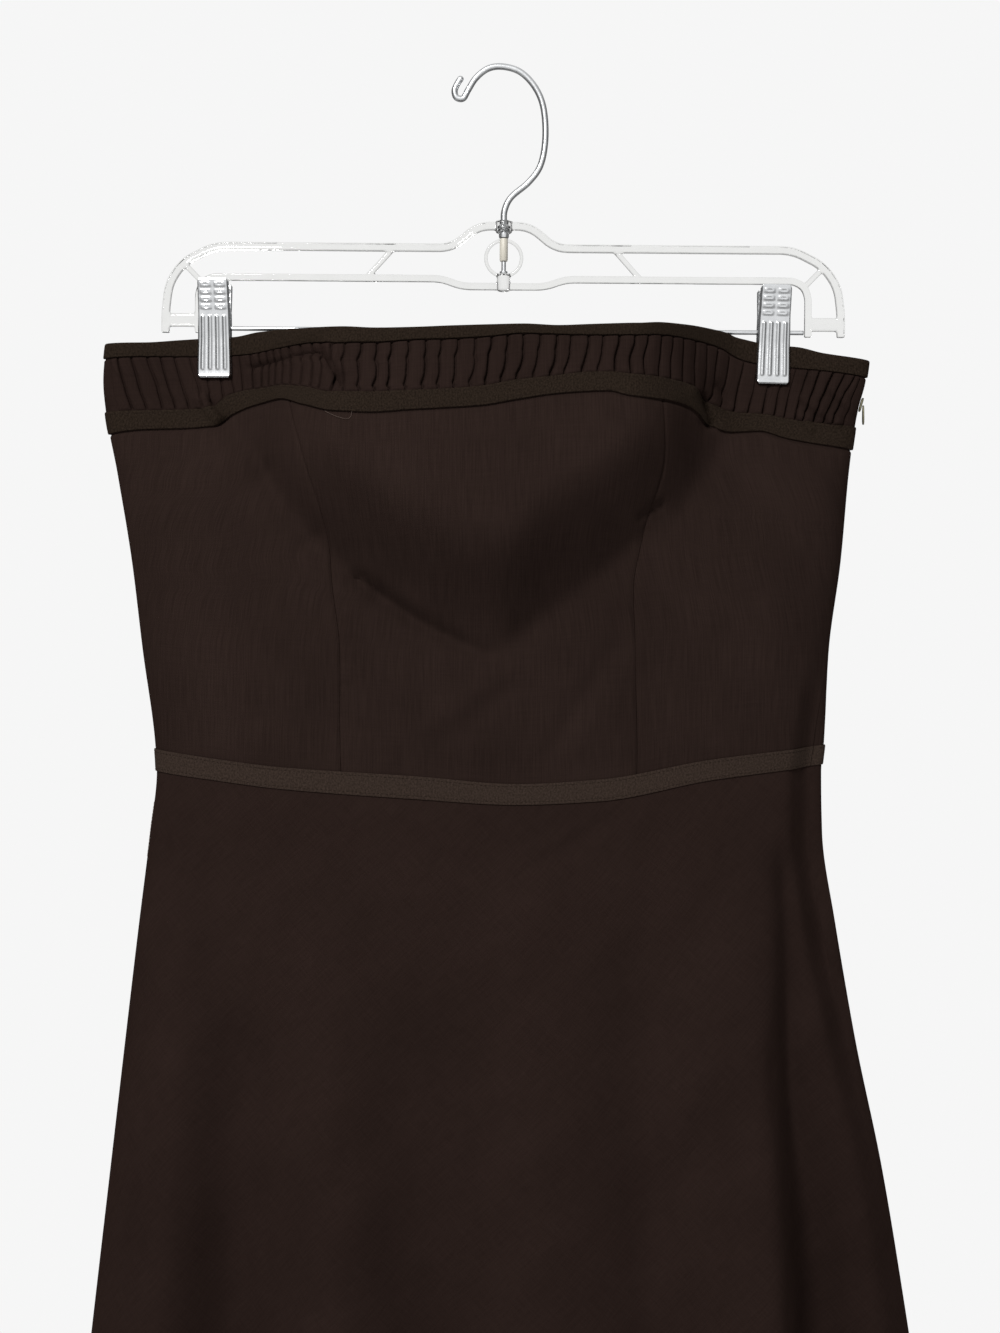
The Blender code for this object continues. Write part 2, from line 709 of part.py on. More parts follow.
def bar_profile(width, thick, corner):
    """Flat bar's section with its corners taken off."""
    w = width / 2
    t = thick / 2
    return [(w, -t + corner), (w, t - corner), (w - corner, t), (-w + corner, t),
            (-w, t - corner), (-w, -t + corner), (-w + corner, -t), (w - corner, -t)]


def tilt_points(points):
    """Turn the hanger a little clockwise about the rail, as it hangs."""
    points = np.array(points, float)
    x = points[:, 0].copy()
    z = points[:, 2].copy()
    points[:, 0] = x * math.cos(TILT) + z * math.sin(TILT)
    points[:, 2] = z * math.cos(TILT) - x * math.sin(TILT)
    return points


def turned(profile, centre_x, segments=12):
    """Turned solid about a vertical axis from radii and heights, top to bottom."""
    points = [(centre_x, 0.0, profile[0][1])]
    for radius, z in profile:
        for k in range(segments):
            angle = 2 * math.pi * k / segments
            points.append((centre_x + radius * math.cos(angle), radius * math.sin(angle), z))
    points.append((centre_x, 0.0, profile[-1][1]))
    faces = []
    last = len(points) - 1
    for k in range(segments):
        nxt = (k + 1) % segments
        faces.append((0, 1 + k, 1 + nxt))
        for r in range(len(profile) - 1):
            a = 1 + r * segments
            b = a + segments
            faces.append((a + k, b + k, b + nxt, a + nxt))
        low = 1 + (len(profile) - 1) * segments
        faces.append((low + k, last, low + nxt))
    points = np.array(points)
    return points, face_out(points, faces)


def mirrored(knots):
    """A side path and its other half, about the hanger's centre line."""
    left = [(HANGER_X - x, z) for x, z in knots]
    right = [(HANGER_X + x, z) for x, z in knots]
    return left[::-1] + right


# The clear frame: half of each bar, outwards from the centre line
TOP_BAR = [(14.0, -84.2), (28.0, -96.1), (156.0, -96.1), (172.5, -104.5), (180.5, -116.0),
           (182.3, -131.0), (182.3, -143.0)]
LOW_BAR = [(22.5, -116.9), (33.5, -112.8), (157.0, -112.8), (162.5, -116.0), (164.5, -121.5),
           (164.5, -143.0)]
CORNER_STRUT = [(173.2, -105.0), (162.6, -115.8)]
MIDDLE_STRUT = [(60.5, -97.5), (73.0, -111.5)]
END_STUB = [(182.0, -136.2), (164.8, -136.2)]
BAR_THICK = 4.4
MERGE = 0.05
RING_HEIGHT = -101.5
RING_RADIUS = 10.6


def joined(name, solids, cuts, finish):
    """One body from several closed solids, with other solids cut away."""
    base = None
    spare = []
    for k, (points, faces) in enumerate(solids + cuts):
        obj = add_object(name if k == 0 else f"{name}_tool_{k}", points, faces, finish)
        if k == 0:
            base = obj
            continue
        spare.append(obj)
        step = base.modifiers.new(f"step_{k}", "BOOLEAN")
        step.operation = "UNION" if k < len(solids) else "DIFFERENCE"
        step.object = obj
    depsgraph = bpy.context.evaluated_depsgraph_get()
    mesh = bpy.data.meshes.new_from_object(base.evaluated_get(depsgraph))
    clean = bmesh.new()
    clean.from_mesh(mesh)
    bmesh.ops.remove_doubles(clean, verts=clean.verts, dist=MERGE * MM)
    bmesh.ops.dissolve_limit(clean, angle_limit=math.radians(0.5), verts=clean.verts,
                             edges=clean.edges)
    bmesh.ops.triangulate(clean, faces=clean.faces)
    clean.to_mesh(mesh)
    clean.free()
    base.modifiers.clear()
    base.data = mesh
    for obj in spare:
        bpy.data.objects.remove(obj, do_unlink=True)
    return base


def add_frame():
    """Clear plastic frame: bars, struts, the ring at the centre and the bored hump."""
    wide = bar_profile(4.3, BAR_THICK, 1.1)
    low = bar_profile(3.8, BAR_THICK - 0.5, 1.0)
    strut = bar_profile(2.8, BAR_THICK - 1.4, 0.7)
    stub = bar_profile(7.2, BAR_THICK - 1.0, 0.9)
    solids = [tube(mirrored(TOP_BAR), wide), tube(mirrored(LOW_BAR), low)]
    for knots, profile in ((CORNER_STRUT, strut), (MIDDLE_STRUT, strut), (END_STUB, stub)):
        for sign in (-1, 1):
            solids.append(tube([(HANGER_X + sign * x, z) for x, z in knots], profile))
    rim = [(HANGER_X + RING_RADIUS * math.cos(a), RING_HEIGHT + RING_RADIUS * math.sin(a))
           for a in np.linspace(0, 2 * math.pi, 25)[:-1]]
    ring = extrude_outline(rim, 1, -1.3, 1.3)
    solids.append((ring[0], face_out(*ring)))
    boss = turned([(4.4, -81.5), (4.4, -88.0)], HANGER_X)
    seat = turned([(3.6, -110.2), (3.6, -119.5)], HANGER_X)
    solids += [boss, seat]
    hole_radius = RING_RADIUS - 1.9
    hole = [(HANGER_X + hole_radius * math.cos(a), RING_HEIGHT + hole_radius * math.sin(a))
            for a in np.linspace(0, 2 * math.pi, 21)[:-1]]
    window = extrude_outline(hole, 1, -6.0, 6.0)
    bore = turned([(3.1, -78.0), (3.1, -95.0)], HANGER_X)
    cuts = [(window[0], face_out(*window)), bore]
    solids = [(tilt_points(points), faces) for points, faces in solids]
    cuts = [(tilt_points(points), faces) for points, faces in cuts]
    joined("hanger_frame", solids, cuts, clear_finish)


# The hook's centre line in the XZ plane, from the ferrule up and over to its curled tip
HOOK_KNOTS = [
    (1.2, -83.6), (1.4, -76.0), (5.0, -68.5), (14.5, -60.2), (20.8, -50.8), (23.2, -36.2),
    (22.0, -20.0), (17.4, -9.0), (9.5, -0.9), (0.0, 2.0), (-8.0, 0.9), (-14.5, -4.2),
    (-18.6, -10.6), (-21.4, -15.3), (-25.0, -14.8), (-26.0, -11.0), (-24.0, -6.4), (-21.8, -3.6),
]


def add_hook():
    """Bent wire hook and the turned fittings below it."""
    points, faces = tube(curve_through(HOOK_KNOTS, 2), ring_profile(WIRE_RADIUS, 8))
    add_object("hanger_hook", tilt_points(points), faces, metal_finish)
    fittings = [(2.1, -83.9), (2.7, -86.0), (2.7, -90.6), (1.9, -92.5), (1.9, -103.5),
                (1.2, -104.2), (1.2, -109.9)]
    points, faces = turned(fittings, HANGER_X)
    add_object("hook_ferrule", tilt_points(points), faces, metal_finish)


def add_rod():
    """Metal rod that the clips slide on, between the frame's inner posts."""
    path = [(HANGER_X - ROD_HALF, ROD_Z), (HANGER_X + ROD_HALF, ROD_Z)]
    points, faces = tube(path, ring_profile(ROD_RADIUS, 10))
    add_object("clip_rod", tilt_points(points), faces, metal_finish)


# A clip's plate: inner face's distance from the middle, and half width, by height over the rod
Plate = namedtuple("Plate", "height inner half")
PLATE = [
    Plate(25.2, 9.4, 8.6),
    Plate(18.0, 7.4, 8.6),
    Plate(8.0, 4.6, 8.6),
    Plate(0.0, 3.6, 8.7),
    Plate(-6.0, 2.95, 8.8),
    Plate(-10.0, 2.9, 8.9),
    Plate(-12.0, 2.9, 9.0),
    Plate(-24.0, 2.9, 9.2),
    Plate(-26.0, 2.9, 9.2),
    Plate(-27.0, 2.9, 8.4),
]
PLATE_THICK = 0.9
RIDGE_TOP = -11.0
RIDGE_BOTTOM = -25.0
RIDGE_RAISE = 0.5
RIDGES = [-0.66, -0.22, 0.22, 0.66]
RIDGE_SHARE = 0.1


def add_plate(name, clip_x, rod_z, lean, direction):
    """One pressed plate, its front ridged below the rod."""
    across = [-1.0]
    for ridge in RIDGES:
        across += [ridge - RIDGE_SHARE, ridge, ridge + RIDGE_SHARE]
    across = np.array(across + [1.0])
    raised = np.isin(across, RIDGES)
    outer = []
    inner = []
    for row in PLATE:
        ridge = raised & (RIDGE_BOTTOM < row.height < RIDGE_TOP)
        x = clip_x + across * row.half
        z = np.full_like(x, rod_z + row.height)
        out = row.inner + PLATE_THICK + ridge * RIDGE_RAISE
        outer.append((across, np.stack([x, direction * out, z], 1)))
        ends = np.array([-1.0, 1.0])
        x = clip_x + ends * row.half
        inner.append((ends, np.stack([x, np.full(2, direction * row.inner),
                                      np.full(2, rod_z + row.height)], 1)))
    points, faces = wall_mesh(outer, inner)
    x = points[:, 0] - clip_x
    z = points[:, 2] - rod_z
    points[:, 0] = clip_x + x * math.cos(lean) - z * math.sin(lean)
    points[:, 2] = rod_z + z * math.cos(lean) + x * math.sin(lean)
    add_object(name, points, face_out(points, faces), metal_finish)


def add_clip(label, clip_x, drop, lean):
    """Clip: two plates with the cloth between their jaws, and a spring round the rod."""
    rod_z = ROD_Z - clip_x * math.sin(TILT)
    add_plate("clip_front_" + label, clip_x, rod_z - drop, lean, -1)
    add_plate("clip_back_" + label, clip_x, rod_z - drop, lean, 1)
    outline = [(ROD_RADIUS + 0.35) * np.array([math.cos(a), math.sin(a)])
               for a in np.linspace(0, 2 * math.pi, 13)[:-1]]
    rim = [3.2 * np.array([math.cos(a), math.sin(a)]) for a in np.linspace(0, 2 * math.pi, 13)[:-1]]
    points = []
    for x in (clip_x - 6.5, clip_x + 6.5):
        for circle in (rim, outline):
            points += [(x, y, rod_z + z) for y, z in circle]
    faces = []
    for k in range(12):
        nxt = (k + 1) % 12
        faces.append((k, nxt, nxt + 24, k + 24))
        faces.append((k + 12, k + 36, nxt + 36, nxt + 12))
        faces.append((k, k + 12, nxt + 12, nxt))
        faces.append((k + 24, nxt + 24, nxt + 36, k + 36))
    points = np.array(points)
    add_object("clip_spring_" + label, points, face_out(points, faces), metal_finish)


def main():
    for obj in list(bpy.data.objects):
        bpy.data.objects.remove(obj, do_unlink=True)
    add_dress()
    add_zip_tape()
    add_slider_and_pull()
    add_frame()
    add_hook()
    add_rod()
    add_clip("left", LEFT_CLIP_X, LEFT_CLIP_DROP, 0.0)
    add_clip("right", RIGHT_CLIP_X, RIGHT_CLIP_DROP / 2, math.radians(-1.5))


main()
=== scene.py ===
"""Looks of a strapless dress with a pin-tucked band, hanging from a clear clip hanger.

Lengths are millimetres and become metres when a mesh is made. X runs to the viewer's
right, Y away from the viewer and Z up, from the inner top of the hook.

A place on the cloth is a seam number, 0 at the top edge, 1 and 2 at the edges of the
tucked band, 3 under its ribbon, 4 and 5 at the waist ribbon and 6 at the hem, with a
mark from 0 to 60 along the front or the back. One mark is one pin tuck.
"""

from __future__ import annotations

import json
import logging
import math
from dataclasses import dataclass
from enum import Enum
from typing import NamedTuple

import bmesh
import bpy
import numpy as np
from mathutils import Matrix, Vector

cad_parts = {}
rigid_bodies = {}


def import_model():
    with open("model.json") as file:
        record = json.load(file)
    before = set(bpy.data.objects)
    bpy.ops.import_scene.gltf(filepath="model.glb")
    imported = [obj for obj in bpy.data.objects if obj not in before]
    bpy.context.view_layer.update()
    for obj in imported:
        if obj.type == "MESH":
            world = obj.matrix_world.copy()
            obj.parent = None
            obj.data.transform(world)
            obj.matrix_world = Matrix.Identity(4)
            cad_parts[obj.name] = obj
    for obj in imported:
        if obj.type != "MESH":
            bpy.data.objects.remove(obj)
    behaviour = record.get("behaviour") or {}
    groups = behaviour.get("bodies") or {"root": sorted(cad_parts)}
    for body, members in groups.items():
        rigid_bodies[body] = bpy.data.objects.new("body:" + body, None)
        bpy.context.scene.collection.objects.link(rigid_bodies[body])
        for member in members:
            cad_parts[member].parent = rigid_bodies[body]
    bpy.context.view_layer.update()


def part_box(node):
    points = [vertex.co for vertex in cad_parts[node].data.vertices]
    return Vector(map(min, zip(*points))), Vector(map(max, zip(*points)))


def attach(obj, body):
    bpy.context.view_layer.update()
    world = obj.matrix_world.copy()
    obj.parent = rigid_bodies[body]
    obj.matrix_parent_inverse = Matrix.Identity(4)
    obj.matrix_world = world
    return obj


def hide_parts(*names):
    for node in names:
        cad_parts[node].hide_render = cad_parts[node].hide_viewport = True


MM = 0.001
TUCKS = 60
DENSE = 1440
SIDE_GAP = 0.18
HANGER_TILT = math.radians(0.45)
ROD_HEIGHT = -140.6
LOG = logging.getLogger("dress")


class Side(Enum):
    """Face of the garment that a piece belongs to."""

    FRONT = "front"
    BACK = "back"


class Body(Enum):
    """Moving body of the CAD part that a piece rides on."""

    GARMENT = "garment"
    PULL = "zip_pull"


class Slot(Enum):
    """Material slot of the record that a piece takes its finish from."""

    RIBBON = "ribbon"
    TUCKED = "tucked_cloth"
    BODICE = "bodice_cloth"
    WAIST = "waist_ribbon"
    SKIRT = "skirt_cloth"
    TAPE = "zip_tape"
    ZIP_METAL = "zip_metal"
    CLEAR = "clear_plastic"
    METAL = "bright_metal"


class Height(NamedTuple):
    """Heights of the four upper seams at a place across."""

    across: float
    top_edge: float
    binding_low: float
    ribbon_top: float
    ribbon_low: float


class Waist(NamedTuple):
    """Heights of the waist ribbon's edges at a place across."""

    across: float
    ribbon_top: float
    ribbon_low: float


class Hem(NamedTuple):
    """Height of the hem at a place across."""

    across: float
    height: float


class Width(NamedTuple):
    """Outline of the hanging dress and how far its middle stands from the plane."""

    height: float
    left: float
    right: float
    front: float
    back: float


class Sag(NamedTuple):
    """Lower line of the bust's fullness."""

    x: float
    height: float


class Flute(NamedTuple):
    """Soft fold of the skirt: its path across, its rise and its two half widths."""

    start: float
    middle: float
    end: float
    rise: float
    left: float
    right: float


class Groove(NamedTuple):
    """Fold along the zip seam: how far in it lies and how deep it is."""

    height: float
    inset: float
    depth: float


class Princess(NamedTuple):
    """Where the princess seams run across the front."""

    height: float
    left: float
    right: float


class Crease(NamedTuple):
    """Small trough (below 0) or ridge along a line, with its half width."""

    x1: float
    z1: float
    x2: float
    z2: float
    half: float
    rise: float


class Slant(NamedTuple):
    """How many marks a tuck leans over from the band's top to its bottom."""

    mark: float
    lean: float


def rows_of(kind: type, *rows: tuple) -> tuple:
    """Rows of plain numbers as named ones of one kind."""
    return tuple(kind(*row) for row in rows)


FRONT_TOP = rows_of(
    Height,
    (0, -148, -156, -185, -196.5), (0.05, -147.6, -155.1, -184.6, -194.8),
    (0.1, -145.8, -154.7, -183.9, -194.2), (0.141, -144.7, -154.5, -182.4, -192.7),
    (0.165, -144.2, -154.1, -175.6, -186.8), (0.2, -142.3, -153.3, -172.8, -181.7),
    (0.235, -142.7, -152.2, -172.7, -180), (0.27, -144.3, -151.9, -175.5, -185),
    (0.313, -145.9, -154.5, -180.7, -190.6), (0.36, -147.1, -154.7, -181.4, -191.9),
    (0.41, -146.7, -153.3, -180.5, -190.6), (0.451, -146, -152.8, -179.9, -189.7),
    (0.5, -145.4, -151.7, -178.3, -188.4), (0.545, -145, -150, -174.9, -185.3),
    (0.588, -145.8, -150.5, -173, -182.5), (0.63, -145.2, -150.9, -170.9, -181.1),
    (0.66, -144.8, -150.9, -170.7, -180.7), (0.688, -144.4, -150.7, -171.9, -183.1),
    (0.715, -143, -149.6, -172.3, -183.9), (0.74, -142.3, -149.2, -172.9, -184.3),
    (0.767, -141.8, -149.5, -174.2, -185.5), (0.8, -142.3, -151.1, -181.3, -193),
    (0.831, -145.2, -156.2, -185.3, -196.3), (0.872, -148.6, -159.6, -186.2, -195.6),
    (0.905, -149.6, -160.8, -188.6, -199.2), (0.94, -153.1, -162.3, -190.8, -201.9),
    (1, -157, -166, -193, -205),
)
BACK_TOP = rows_of(
    Height,
    (0, -148, -156, -185, -196.5), (0.141, -146, -155, -186, -196), (0.5, -147, -156, -187, -197),
    (0.872, -149, -158, -189, -199), (1, -157, -166, -193, -205),
)
FRONT_WAIST = rows_of(
    Waist,
    (0, -366, -378), (0.09, -370.5, -382), (0.19, -375, -386.5), (0.396, -380, -392),
    (0.541, -384, -395), (0.666, -381.5, -393), (0.829, -371, -382), (1, -364, -374.5),
)
BACK_WAIST = rows_of(
    Waist,
    (0, -366, -378), (0.5, -376, -388), (1, -364, -374.5),
)
HEM = rows_of(
    Hem,
    (0, -1014), (0.5, -1030), (1, -1012),
)
WIDTHS = rows_of(
    Width,
    (-140, -213, 199, 14, 11), (-168, -215.5, 195.5, 16, 12), (-185, -214, 191, 18, 13),
    (-217, -208, 186.5, 21, 13), (-265, -200, 182, 23, 13), (-314, -194, 175.5, 24, 13),
    (-362, -187.5, 173, 24, 13), (-378, -186.5, 171.5, 23, 13), (-411, -190, 172, 24, 15),
    (-460, -196, 179, 29, 19), (-524, -203.5, 190, 35, 25), (-589, -211, 203.5, 40, 30),
    (-645, -217.5, 213, 43, 34), (-1035, -262, 271, 62, 52),
)
BUST_LINE = rows_of(
    Sag,
    (-214, -100), (-160, -150), (-138, -200), (-110, -254), (-78, -281), (-42, -303), (-2, -316),
    (26, -296), (55, -276), (90, -249), (113, -216), (127, -196), (150, -150), (200, -100),
)
FRONT_FLUTES = rows_of(
    Flute,
    (0.015, 0.07, 0.08, 15, 0.05, 0.05), (0.11, 0.172, 0.18, -18, 0.05, 0.06),
    (0.24, 0.3, 0.31, 17, 0.06, 0.07), (0.45, 0.45, 0.44, -5, 0.07, 0.07),
    (0.56, 0.55, 0.54, 7, 0.08, 0.08), (0.72, 0.695, 0.69, -9, 0.05, 0.04),
    (0.93, 0.845, 0.82, 26, 0.075, 0.028), (0.975, 0.905, 0.885, -25, 0.028, 0.045),
)
BACK_FLUTES = rows_of(
    Flute,
    (0.08, 0.11, 0.12, 13, 0.06, 0.06), (0.22, 0.24, 0.25, -12, 0.07, 0.07),
    (0.39, 0.385, 0.38, 15, 0.08, 0.07), (0.54, 0.53, 0.52, -11, 0.06, 0.08),
    (0.69, 0.68, 0.67, 16, 0.07, 0.07), (0.86, 0.84, 0.83, -12, 0.06, 0.06),
)
GROOVE = rows_of(
    Groove,
    (-140, 0, 0), (-300, 0, 0), (-364, 6, 0.9), (-449, 8, 1), (-503, 6.5, 0.9), (-551, 4.5, 0.5),
    (-637, 3, 0.3), (-1035, 2, 0.2),
)
PRINCESS = rows_of(
    Princess,
    (-140, 0.24, 0.735), (-185, 0.247, 0.737), (-217, 0.263, 0.742), (-256, 0.283, 0.718),
    (-283, 0.286, 0.707), (-314, 0.293, 0.713), (-378, 0.282, 0.716), (-1035, 0.282, 0.716),
)

# Creases of the front, each as a line on the cloth seen from the front
FRONT_CREASES = rows_of(
    Crease,
    (-79, -274, -43, -299.5, 4, -1.6), (-43, -299.5, -6.3, -317, 4.5, -1.5),
    (-80, -267, -40, -292, 5, 0.9), (-6.3, -317, 28.4, -292.3, 8, -1.9),
    (28.4, -292.3, 69.8, -257.7, 8.5, -2), (69.5, -257.9, 83.5, -236.8, 5, -1.6),
    (70.6, -244.5, 85, -235.2, 2.2, -1.3), (61.2, -308.7, 22, -371.6, 6, -1.5),
    (72, -312, 34, -372, 6, 0.9), (8.9, -329.7, -33.1, -363.8, 6, -1.2),
    (2, -322, -44, -357, 6, 0.7), (-101.7, -340.3, -85.9, -366.6, 5, -0.9),
    (-75.3, -350.8, -62.2, -371.9, 4.5, -0.8), (-150, -300, -128, -352, 9, -0.9),
    (118, -300, 98, -350, 9, -0.9), (-86.6, -288.2, -78.3, -289.7, 1.6, -0.55),
    (-86.6, -298.5, -78, -300.1, 1.5, -0.6), (-86, -308.9, -78.3, -310.4, 1.6, -0.5),
    (-86.6, -319.3, -79, -320.8, 1.5, -0.55), (-86.6, -332.2, -78.3, -333.8, 1.6, -0.45),
    (-86, -347.8, -79.3, -349.3, 1.7, -0.45), (-54.3, -403.5, -28, -424.6, 4.5, -0.9),
    (-12.2, -403.5, 8.9, -424.6, 4, -0.8), (30, -424.6, 56.4, -398.3, 4.5, -0.9),
    (-182.1, -380.8, -170.4, -431.7, 3, 1.3), (-127.6, -156.2, -94.2, -152.5, 2.6, -2.2),
    (-93.3, -153, -79.1, -172, 2.4, 1.1), (-90.5, -162, -82, -178, 2.2, -1.8),
    (-160, -180.2, -148.5, -189.8, 2.2, -2.6), (103.7, -180.5, 110.5, -195.5, 3, -3.6),
    (106.9, -171, 120.1, -179, 2.6, -1.3), (158, -171.3, 178.9, -188.5, 2.4, -1.7),
)
BACK_CREASES = rows_of(
    Crease,
    (-118, -196, -92, -248, 7, -1.4), (-96, -205, -70, -250, 8, 0.9),
    (112, -202, 84, -246, 7.5, -1.3), (52, -322, 20, -370, 7, -1.2),
    (-38, -334, -68, -366, 6.5, -1.1), (-120, -352, -98, -370, 4.5, -0.8),
    (-40, -398, -18, -420, 4.5, -0.8), (38, -416, 60, -396, 4, -0.8),
    (-150, -181, -159, -192, 2.4, -1.8), (150, -183, 141, -196, 2.6, -1.6),
    (-104, -158, -84, -170, 2.6, -1.2),
)
# Small sharp creases near the clips and on the bust, pressed in after the pinch
FINE_CREASES = rows_of(
    Crease,
    (-164, -176, -152, -190, 3.2, 3.6), (-158.5, -178.5, -148.5, -190, 1.9, -3),
    (-152, -187, -124, -220, 7, -1.8), (-128, -216, -98, -256, 8, -3),
    (-102, -253, -64, -286, 7.5, -3.2), (-68, -284, -20, -313, 6.5, -2.2),
    (-137, -161.5, -108, -158, 1.9, -3), (-108, -158, -95, -158, 1.9, -3.4),
    (-95, -158, -89, -168, 2, -3.4), (-89, -168, -83, -179, 1.9, -3),
    (-91, -155, -82, -171, 2.4, 1.4), (104.5, -177, 111.5, -194, 3.4, -6.5),
    (98, -176, 103.5, -192, 2.6, 2), (113, -170, 122, -181, 2.4, -2),
    (160, -176, 181, -192, 2.4, 2.2), (158, -184, 166, -196, 2.2, 1.8),
    (176, -172, 190, -186, 2.2, 1.8), (124, -143, 138, -156, 3, -2.6),
    (-79, -274, -43, -299.5, 3.6, -1.3), (-43, -299.5, -6.3, -317, 3.6, -1.1),
    (70.6, -244.5, 85, -235.2, 1.2, -0.8), (-84, -277, -72, -274, 1.2, -0.6),
    (-84, -306, -70, -311, 1.3, -0.6), (-83, -331, -71, -328, 1.2, -0.5),
    (-83, -352, -70, -357, 1.3, -0.6), (64, -399, 8, -432, 2.2, -1),
    (40, -400, -2, -423, 1.8, -0.7), (-68, -405, -14, -433, 2.4, -0.8),
    (149, -425, 151, -560, 6, -6), (151, -560, 156, -680, 7.5, -9), (156, -680, 196, -1000, 9, -8),
)
FRONT_SLANT = rows_of(
    Slant,
    (0, 1.25), (5, 1.2), (8.5, 0.85), (12, 0.25), (17, 0.2), (22, 0.2), (27, 0.15), (32, -0.05),
    (36, 0), (40, 0.25), (44, 0.25), (47, -0.1), (49, -0.6), (52, -1), (56, -1.6), (60, -1.7),
)
BACK_SLANT = rows_of(
    Slant,
    (0, 1.2), (7, 0.9), (14, 0.25), (24, -0.15), (33, 0.2), (42, 0.05), (50, -0.55), (60, -1.1),
)


def column(table: tuple, name: str) -> np.ndarray:
    """One named column of a table."""
    return np.array([getattr(row, name) for row in table], float)


def smooth(at: np.ndarray, places: np.ndarray, values: np.ndarray) -> np.ndarray:
    """Read a table between its points by cubic pieces that never overshoot.

    Each piece joins two points with slopes that are the harmonic mean of the rises
    beside them, and level where the rise turns.

    Args:
        at: places to read at, of any shape.
        places: the table's own places, rising.
        values: the table's values.

    Returns:
        Values at the places asked for, in the same shape.
    """
    step = np.diff(places)
    rise = np.diff(values) / step
    product = rise[:-1] * rise[1:]
    total = np.where(product > 0, rise[:-1] + rise[1:], 1.0)
    slope = np.concatenate([rise[:1], np.where(product > 0, 2 * product / total, 0.0), rise[-1:]])
    at = np.asarray(at, float)
    k = np.clip(np.searchsorted(places, at) - 1, 0, len(step) - 1)
    t = np.clip((at - places[k]) / step[k], 0.0, 1.0)
    start = values[k] * (1 + 2 * t) * (1 - t) ** 2
    end = values[k + 1] * t * t * (3 - 2 * t)
    lean = step[k] * t * (1 - t) * (slope[k] * (1 - t) - slope[k + 1] * t)
    return start + end + lean


def ease(t: np.ndarray) -> np.ndarray:
    """Soft step from 0 to 1: three times the square less twice the cube."""
    t = np.clip(t, 0.0, 1.0)
    return t * t * (3 - 2 * t)


def by_height(table: tuple, key: str, z: np.ndarray) -> np.ndarray:
    """Column of a table whose rows run downwards, read at heights z."""
    return smooth(-z, -column(table, "height"), column(table, key))


def along_rows(at: np.ndarray, places: np.ndarray, values: np.ndarray) -> np.ndarray:
    """Straight-line reading of each row of a grid at that row's own places.

    The rows are laid end to end, each shifted by more than a row's length, so that
    one call reads them all.

    Args:
        at: places to read at, rows by columns.
        places: rising places of the known values, rows by samples.
        values: known values, rows by samples by coordinates.

    Returns:
        Values, rows by columns by coordinates.
    """
    span = float(np.abs(places).max() + np.abs(at).max() + 1.0) * 2
    shift = np.arange(len(at))[:, None] * span
    flat_at = (at + shift).ravel()
    flat_places = (places + shift).ravel()
    read = [np.interp(flat_at, flat_places, values[..., k].ravel())
            for k in range(values.shape[-1])]
    return np.stack(read, axis=-1).reshape(*at.shape, -1)


def unit(vectors: np.ndarray) -> np.ndarray:
    """Vectors divided by their lengths."""
    return vectors / np.maximum(np.linalg.norm(vectors, axis=-1, keepdims=True), 1e-12)


def running(points: np.ndarray) -> np.ndarray:
    """Distance of each point along its line, from 0."""
    return np.concatenate([[0.0], np.cumsum(np.linalg.norm(np.diff(points, axis=0), axis=1))])


def read_line(at: np.ndarray, run: np.ndarray, values: np.ndarray) -> np.ndarray:
    """Values along a line, one row for each distance asked for."""
    return np.stack([np.interp(at, run, value) for value in values.T], axis=1)


@dataclass
class Patch:
    """Stretch of cloth on a grid: middle points, directions out, and flat distances."""

    points: np.ndarray
    out: np.ndarray
    flat: np.ndarray
    press: np.ndarray

    def lifted(self, lift: np.ndarray | float) -> np.ndarray:
        """Points moved out from the middle of the cloth by a lift."""
        return self.points + self.out * np.broadcast_to(lift, self.points.shape[:2])[..., None]


